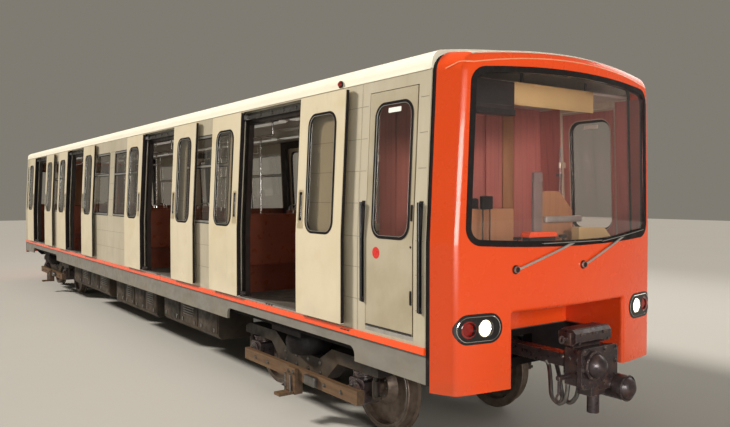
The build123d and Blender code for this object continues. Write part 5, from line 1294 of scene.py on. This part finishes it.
# (X of the seat's back, the way it faces)
SEATS = ((4.87, -1), (3.13, 1), (1.37, -1), (-0.205, 1), (-0.295, -1), (-1.87, 1), (-3.63, -1), (-5.37, 1),
         (-7.99, 1))
SEAT_TOP_Z = FLOOR_Z + 0.43 + 0.50


@piece("steel_tube")
def seat_handles(bm):
    """A grab handle over the aisle end of each seat back."""
    route = ((0.36, 0.0), (0.37, 0.07), (0.45, 0.10), (0.53, 0.07), (0.54, 0.0))
    for (x, way), side in product(SEATS, (-1, 1)):
        pipe(bm, [(x + way * 0.018, side * y, SEAT_TOP_Z + rise) for y, rise in route], 0.012)


@piece("dark_trim")
def destination_box(bm):
    """The blank destination box inside the top of the windscreen."""
    box(bm, 8.36, 8.45, -1.03, -0.49, 2.93, 3.21, 0.012)


@piece("black_plastic")
def destination_box_window(bm):
    """The box's dark glass, and the black rail under it."""
    box(bm, 8.4485, 8.453, -1.00, -0.52, 3.01, 3.18, 0.003)
    box(bm, 8.4485, 8.4575, -1.03, -0.49, 2.932, 2.98, 0.003)


@piece("beige_panel")
def sun_visor(bm):
    """A stiff pale visor panel behind the middle of the windscreen, on two brackets."""
    box(bm, 8.398, 8.404, -0.446, 0.60, 3.03, 3.225, 0.0025)


@piece("black_plastic")
def sun_visor_brackets(bm):
    for y in (-0.35, 0.50):
        box(bm, 8.386, 8.399, y - 0.015, y + 0.015, 3.17, 3.30, 0.003)


# The partition's face towards the cab, and the heights of the panels on it
PARTITION_FACE_X = 7.245
PANEL_BOTTOM_Z = 1.13
PANEL_TOP_Z = 3.14


@piece("cab_panel")
def partition_door(bm):
    """The cab partition's door leaf and the panels beside it, seen from the cab."""
    x = PARTITION_FACE_X
    box(bm, x - 0.001, x + 0.018, -0.36, 0.36, 1.11, 3.10, 0.004)
    for y0, y1 in ((-1.19, -0.80), (-0.79, -0.43), (0.43, 0.62), (0.81, 1.14)):
        box(bm, x - 0.001, x + 0.008, y0, y1, PANEL_BOTTOM_Z, PANEL_TOP_Z, 0.003)


@piece("tan_panel")
def partition_strip(bm):
    x = PARTITION_FACE_X
    box(bm, x - 0.001, x + 0.011, 0.635, 0.795, PANEL_BOTTOM_Z, PANEL_TOP_Z, 0.003)


@piece("cab_panel")
def partition_frame(bm):
    x = PARTITION_FACE_X
    for y in (-0.39, 0.39):
        box(bm, x - 0.001, x + 0.03, y - 0.025, y + 0.025, 1.106, 3.15, 0.004)
    box(bm, x - 0.001, x + 0.03, -0.41, 0.41, 3.10, 3.15, 0.004)
    rod(bm, (x + 0.045, -0.29, 2.02), (x + 0.045, -0.18, 2.02), 0.009)
    rod(bm, (x + 0.017, -0.29, 2.02), (x + 0.05, -0.29, 2.02), 0.011)


@piece("cab_panel")
def cab_lining(bm):
    """Laminate on the side walls between the partition and the cab doors, and ahead of the doors."""
    for (_, surface), (x0, x1) in product(SIDES, ((PARTITION_FACE_X + 0.002, 7.524), (8.20, 8.33))):
        plate(bm, surface, x0, x1, 1.11, 3.20, -WALL_INNER - 0.004, -WALL_INNER)


@piece("cab_panel", CAB_DOORS)
def cab_door_lining(bm, side):
    """Laminate on the inner face of a cab door, round its window."""
    panel = (CAB_DOOR_REAR_X + 0.006, CAB_DOOR_FRONT_X - 0.008, CAB_DOOR_BOTTOM_Z + 0.02,
             CAB_DOOR_TOP_Z - 0.02)
    windowed_panel(bm, side_surface(side), (CAB_WINDOW_X, WINDOW_MIDDLE_Z),
                   (CAB_WINDOW_WIDTH + 0.02, WINDOW_HEIGHT + 0.02), 0.13, panel, -0.046, -0.042)


DESK_REAR_X = 8.27
DESK_REAR_Z = 1.76
DESK_SLOPE = 0.08 / 0.26


def desk_top_z(x):
    """Height of the sloping desk top at a place between its edges."""
    return DESK_REAR_Z + DESK_SLOPE * (x - DESK_REAR_X)


def across_slab(bm, x0, x1, outline):
    """A plate across the car from its (Y, height) outline."""
    slab(bm, lambda y, z, h: Vector((h, y, z)), outline, x0, x1)


@piece("beige_panel")
def desk_binnacle(bm):
    """The pale box on the desk, with its slanted end."""
    across_slab(bm, 8.36, 8.44, [(0.36, 1.78), (0.86, 1.78), (0.86, 1.868), (0.735, 1.972), (0.72, 1.979),
                                 (0.375, 1.992), (0.36, 1.985)])


@piece("tan_panel")
def desk_shields(bm):
    """The tan panel at the platform side and the shield with a cut-off corner behind the desk."""
    box(bm, DESK_REAR_X, DESK_REAR_X + 0.03, -0.88, -0.33, DESK_REAR_Z, 2.165, 0.008)
    across_slab(bm, 8.225, 8.250, [(0.09, 1.76), (0.506, 1.76), (0.506, 2.139), (0.49, 2.158), (0.33, 2.302),
                                   (0.29, 2.315), (0.11, 2.315), (0.09, 2.30)])


@piece("aluminium_trim")
def desk_rail(bm):
    """A pale rail on the shield's front."""
    box(bm, 8.2495, 8.290, 0.10, 0.60, 2.032, 2.088, 0.008)


@piece("black_plastic")
def desk_dials(bm):
    """Round gauges, rows of keys and the dark foot of the red hood."""
    for i in range(3):
        place = Vector((8.3605, 0.44 + i * 0.11, 1.90))
        turned(bm, place, place - Vector((0.010, 0, 0)), [(0, 0.042), (0.6, 0.042), (1, 0.034)], 24)
    for y, x in product((0.12 + i * 0.028 for i in range(9)), (8.30, 8.34)):
        z = desk_top_z(x)
        box(bm, x - 0.013, x + 0.013, y - 0.010, y + 0.010, z - 0.002, z + 0.012, 0.003)
    box(bm, 8.33, 8.41, -0.262, 0.082, desk_top_z(8.33) - 0.002, 1.918, 0.008)


@piece("black_plastic")
def desk_levers(bm):
    """Driving and brake handles on short posts, and a black box on two posts."""
    for y in (-0.30, 0.30):
        rod(bm, (8.33, y, desk_top_z(8.33) - 0.003), (8.31, y, 1.90), 0.010)
        rod(bm, (8.31, y - 0.04, 1.905), (8.31, y + 0.04, 1.905), 0.015)
    for y in (-0.765, -0.685):
        rod(bm, (8.36, y, desk_top_z(8.36) - 0.003), (8.36, y, 2.17), 0.007)
    box(bm, 8.34, 8.38, -0.785, -0.665, 2.162, 2.27, 0.008)


@piece("orange_paint")
def desk_hood(bm):
    """A red rounded hood over the middle of the desk."""
    across_slab(bm, 8.322, 8.418, [(-0.27, 1.916), (0.09, 1.916), (0.09, 1.94), (0.07, 1.957), (-0.25, 1.961),
                                   (-0.27, 1.945)])


# (X of the driver's seat's back, Y of its middle)
DRIVER_SEAT = (7.62, -0.29)


@piece("black_plastic")
def driver_seat_trim(bm):
    """Head rest and side bolsters of the driver's seat."""
    x, y = DRIVER_SEAT
    box(bm, x, x + 0.07, y - 0.15, y + 0.15, 2.085, 2.25, 0.02)
    for dy in (-0.06, 0.06):
        rod(bm, (x + 0.035, y + dy, 2.04), (x + 0.035, y + dy, 2.10), 0.008)
    for dy in (-0.215, 0.215):
        box(bm, x + 0.02, x + 0.105, y + dy - 0.025, y + dy + 0.025, 1.58, 2.03, 0.014)


@piece("cab_grey")
def cab_upright(bm):
    """The grey upright case at the desk's rear edge, with a lid line round its top."""
    box(bm, 8.228, 8.262, -0.034, 0.085, 1.755, 2.483, 0.010)
    box(bm, 8.226, 8.264, -0.036, 0.087, 2.40, 2.408, 0.002)


def look_at(obj, target):
    obj.rotation_euler = (Vector(target) - obj.location).to_track_quat("-Z", "Y").to_euler()


def area_light(name, place, target, size, power, colour=(1, 1, 1), diffuse=True, gloss=True, spread=180):
    light = bpy.data.lights.new(name, "AREA")
    light.shape = "RECTANGLE"
    light.size, light.size_y = size
    light.energy = power
    light.spread = math.radians(spread)
    light.color = colour
    obj = bpy.data.objects.new(name, light)
    obj.location = place
    obj.visible_diffuse = diffuse
    obj.visible_glossy = gloss
    obj.visible_transmission = gloss
    bpy.context.scene.collection.objects.link(obj)
    look_at(obj, target)
    return obj


# The light for the mask's rounded corner would stand mirrored in these from behind, as a white patch
FLAT_SIDE = ("side_wall_right", "door_leaves_open", "cab_door_right", "skirts", "sill_strips",
             "side_glass", "door_glass", "cab_door_glass_right", "floor_cases")


def keep_off(light, nodes):
    """Keeps one light off the CAD pieces named."""
    spared = bpy.data.collections.new("spared_by_" + light.name)
    for name in nodes:
        spared.objects.link(frame["nodes"][name])
    for member in spared.collection_objects:
        member.light_linking.link_state = "EXCLUDE"
    light.light_linking.receiver_collection = spared


# The camera stands where the photograph was taken from, above the platform ahead of the cab
CAMERA_PLACE = (12.456, -4.855, 2.27 + RAIL_Z)
CAMERA_YAW = math.radians(35.43)
CAMERA_PITCH = math.radians(1.43)
FOCAL_PIXELS = 700
IMAGE_WIDTH = 730
SENSOR = 36.0


def make_camera():
    camera = bpy.data.cameras.new("camera")
    camera.sensor_width = SENSOR
    camera.lens = SENSOR * FOCAL_PIXELS / IMAGE_WIDTH
    camera.clip_end = 200
    obj = bpy.data.objects.new("camera", camera)
    obj.location = CAMERA_PLACE
    ahead = Vector((-math.cos(CAMERA_YAW) * math.cos(CAMERA_PITCH),
                    math.sin(CAMERA_YAW) * math.cos(CAMERA_PITCH), -math.sin(CAMERA_PITCH)))
    look_at(obj, obj.location + ahead)
    bpy.context.scene.collection.objects.link(obj)
    bpy.context.scene.camera = obj


def make_stage():
    """A plain pale floor, soft light from above, ahead and the far side, and a raking one from the rear."""
    mesh = bpy.data.meshes.new("studio_floor")
    reach = 60
    corners = [(-reach, -reach, 0), (reach, -reach, 0), (reach, reach, 0), (-reach, reach, 0)]
    mesh.from_pydata(corners, [], [(0, 1, 2, 3)])
    floor = bpy.data.objects.new("studio_floor", mesh)
    bpy.context.scene.collection.objects.link(floor)
    pale = Shader((0.43, 0.42, 0.40), 0.8, 0.0, 0.0, 0.0).mottle(0.4, (0.415, 0.405, 0.385), 0.4, 0.7, 0.5)
    mesh.materials.append(pale.material)
    world = bpy.data.worlds.new("soft_world")
    world.use_nodes = True
    world.node_tree.nodes["Background"].inputs["Color"].default_value = (0.97, 0.90, 0.76, 1)
    world.node_tree.nodes["Background"].inputs["Strength"].default_value = 0.22
    bpy.context.scene.world = world
    bpy.context.scene.view_settings.view_transform = "Standard"
    warm = (1, 0.94, 0.84)
    area_light("above", (3, -3, 12), (3, -1, 1), (18, 8), 300, warm, gloss=False)
    area_light("ahead", (30, -4, 7), (8, 0, 1.8), (9, 5), 380, warm, gloss=False, spread=60)
    area_light("far_side", (0, 12, 8), (0, 0, 1.5), (24, 5), 800, (1, 0.97, 0.92))
    glint = area_light("corner_glint", (15, -6.05, 2.8), (8.62, -1.24, 2.4), (6.5, 2.8), 900, (1, 0.97, 0.92),
                       diffuse=False)
    keep_off(glint, FLAT_SIDE)
    rake = bpy.data.lights.new("platform_rake", "SUN")
    rake.energy = 6.4
    rake.angle = math.radians(7)
    rake.color = warm
    raking = bpy.data.objects.new("platform_rake", rake)
    raking.location = (-20, -10.8, 10.4)
    raking.visible_glossy = False
    raking.visible_transmission = False
    bpy.context.scene.collection.objects.link(raking)
    look_at(raking, (0, -0.8, 0.2))


dress()
make_camera()
make_stage()
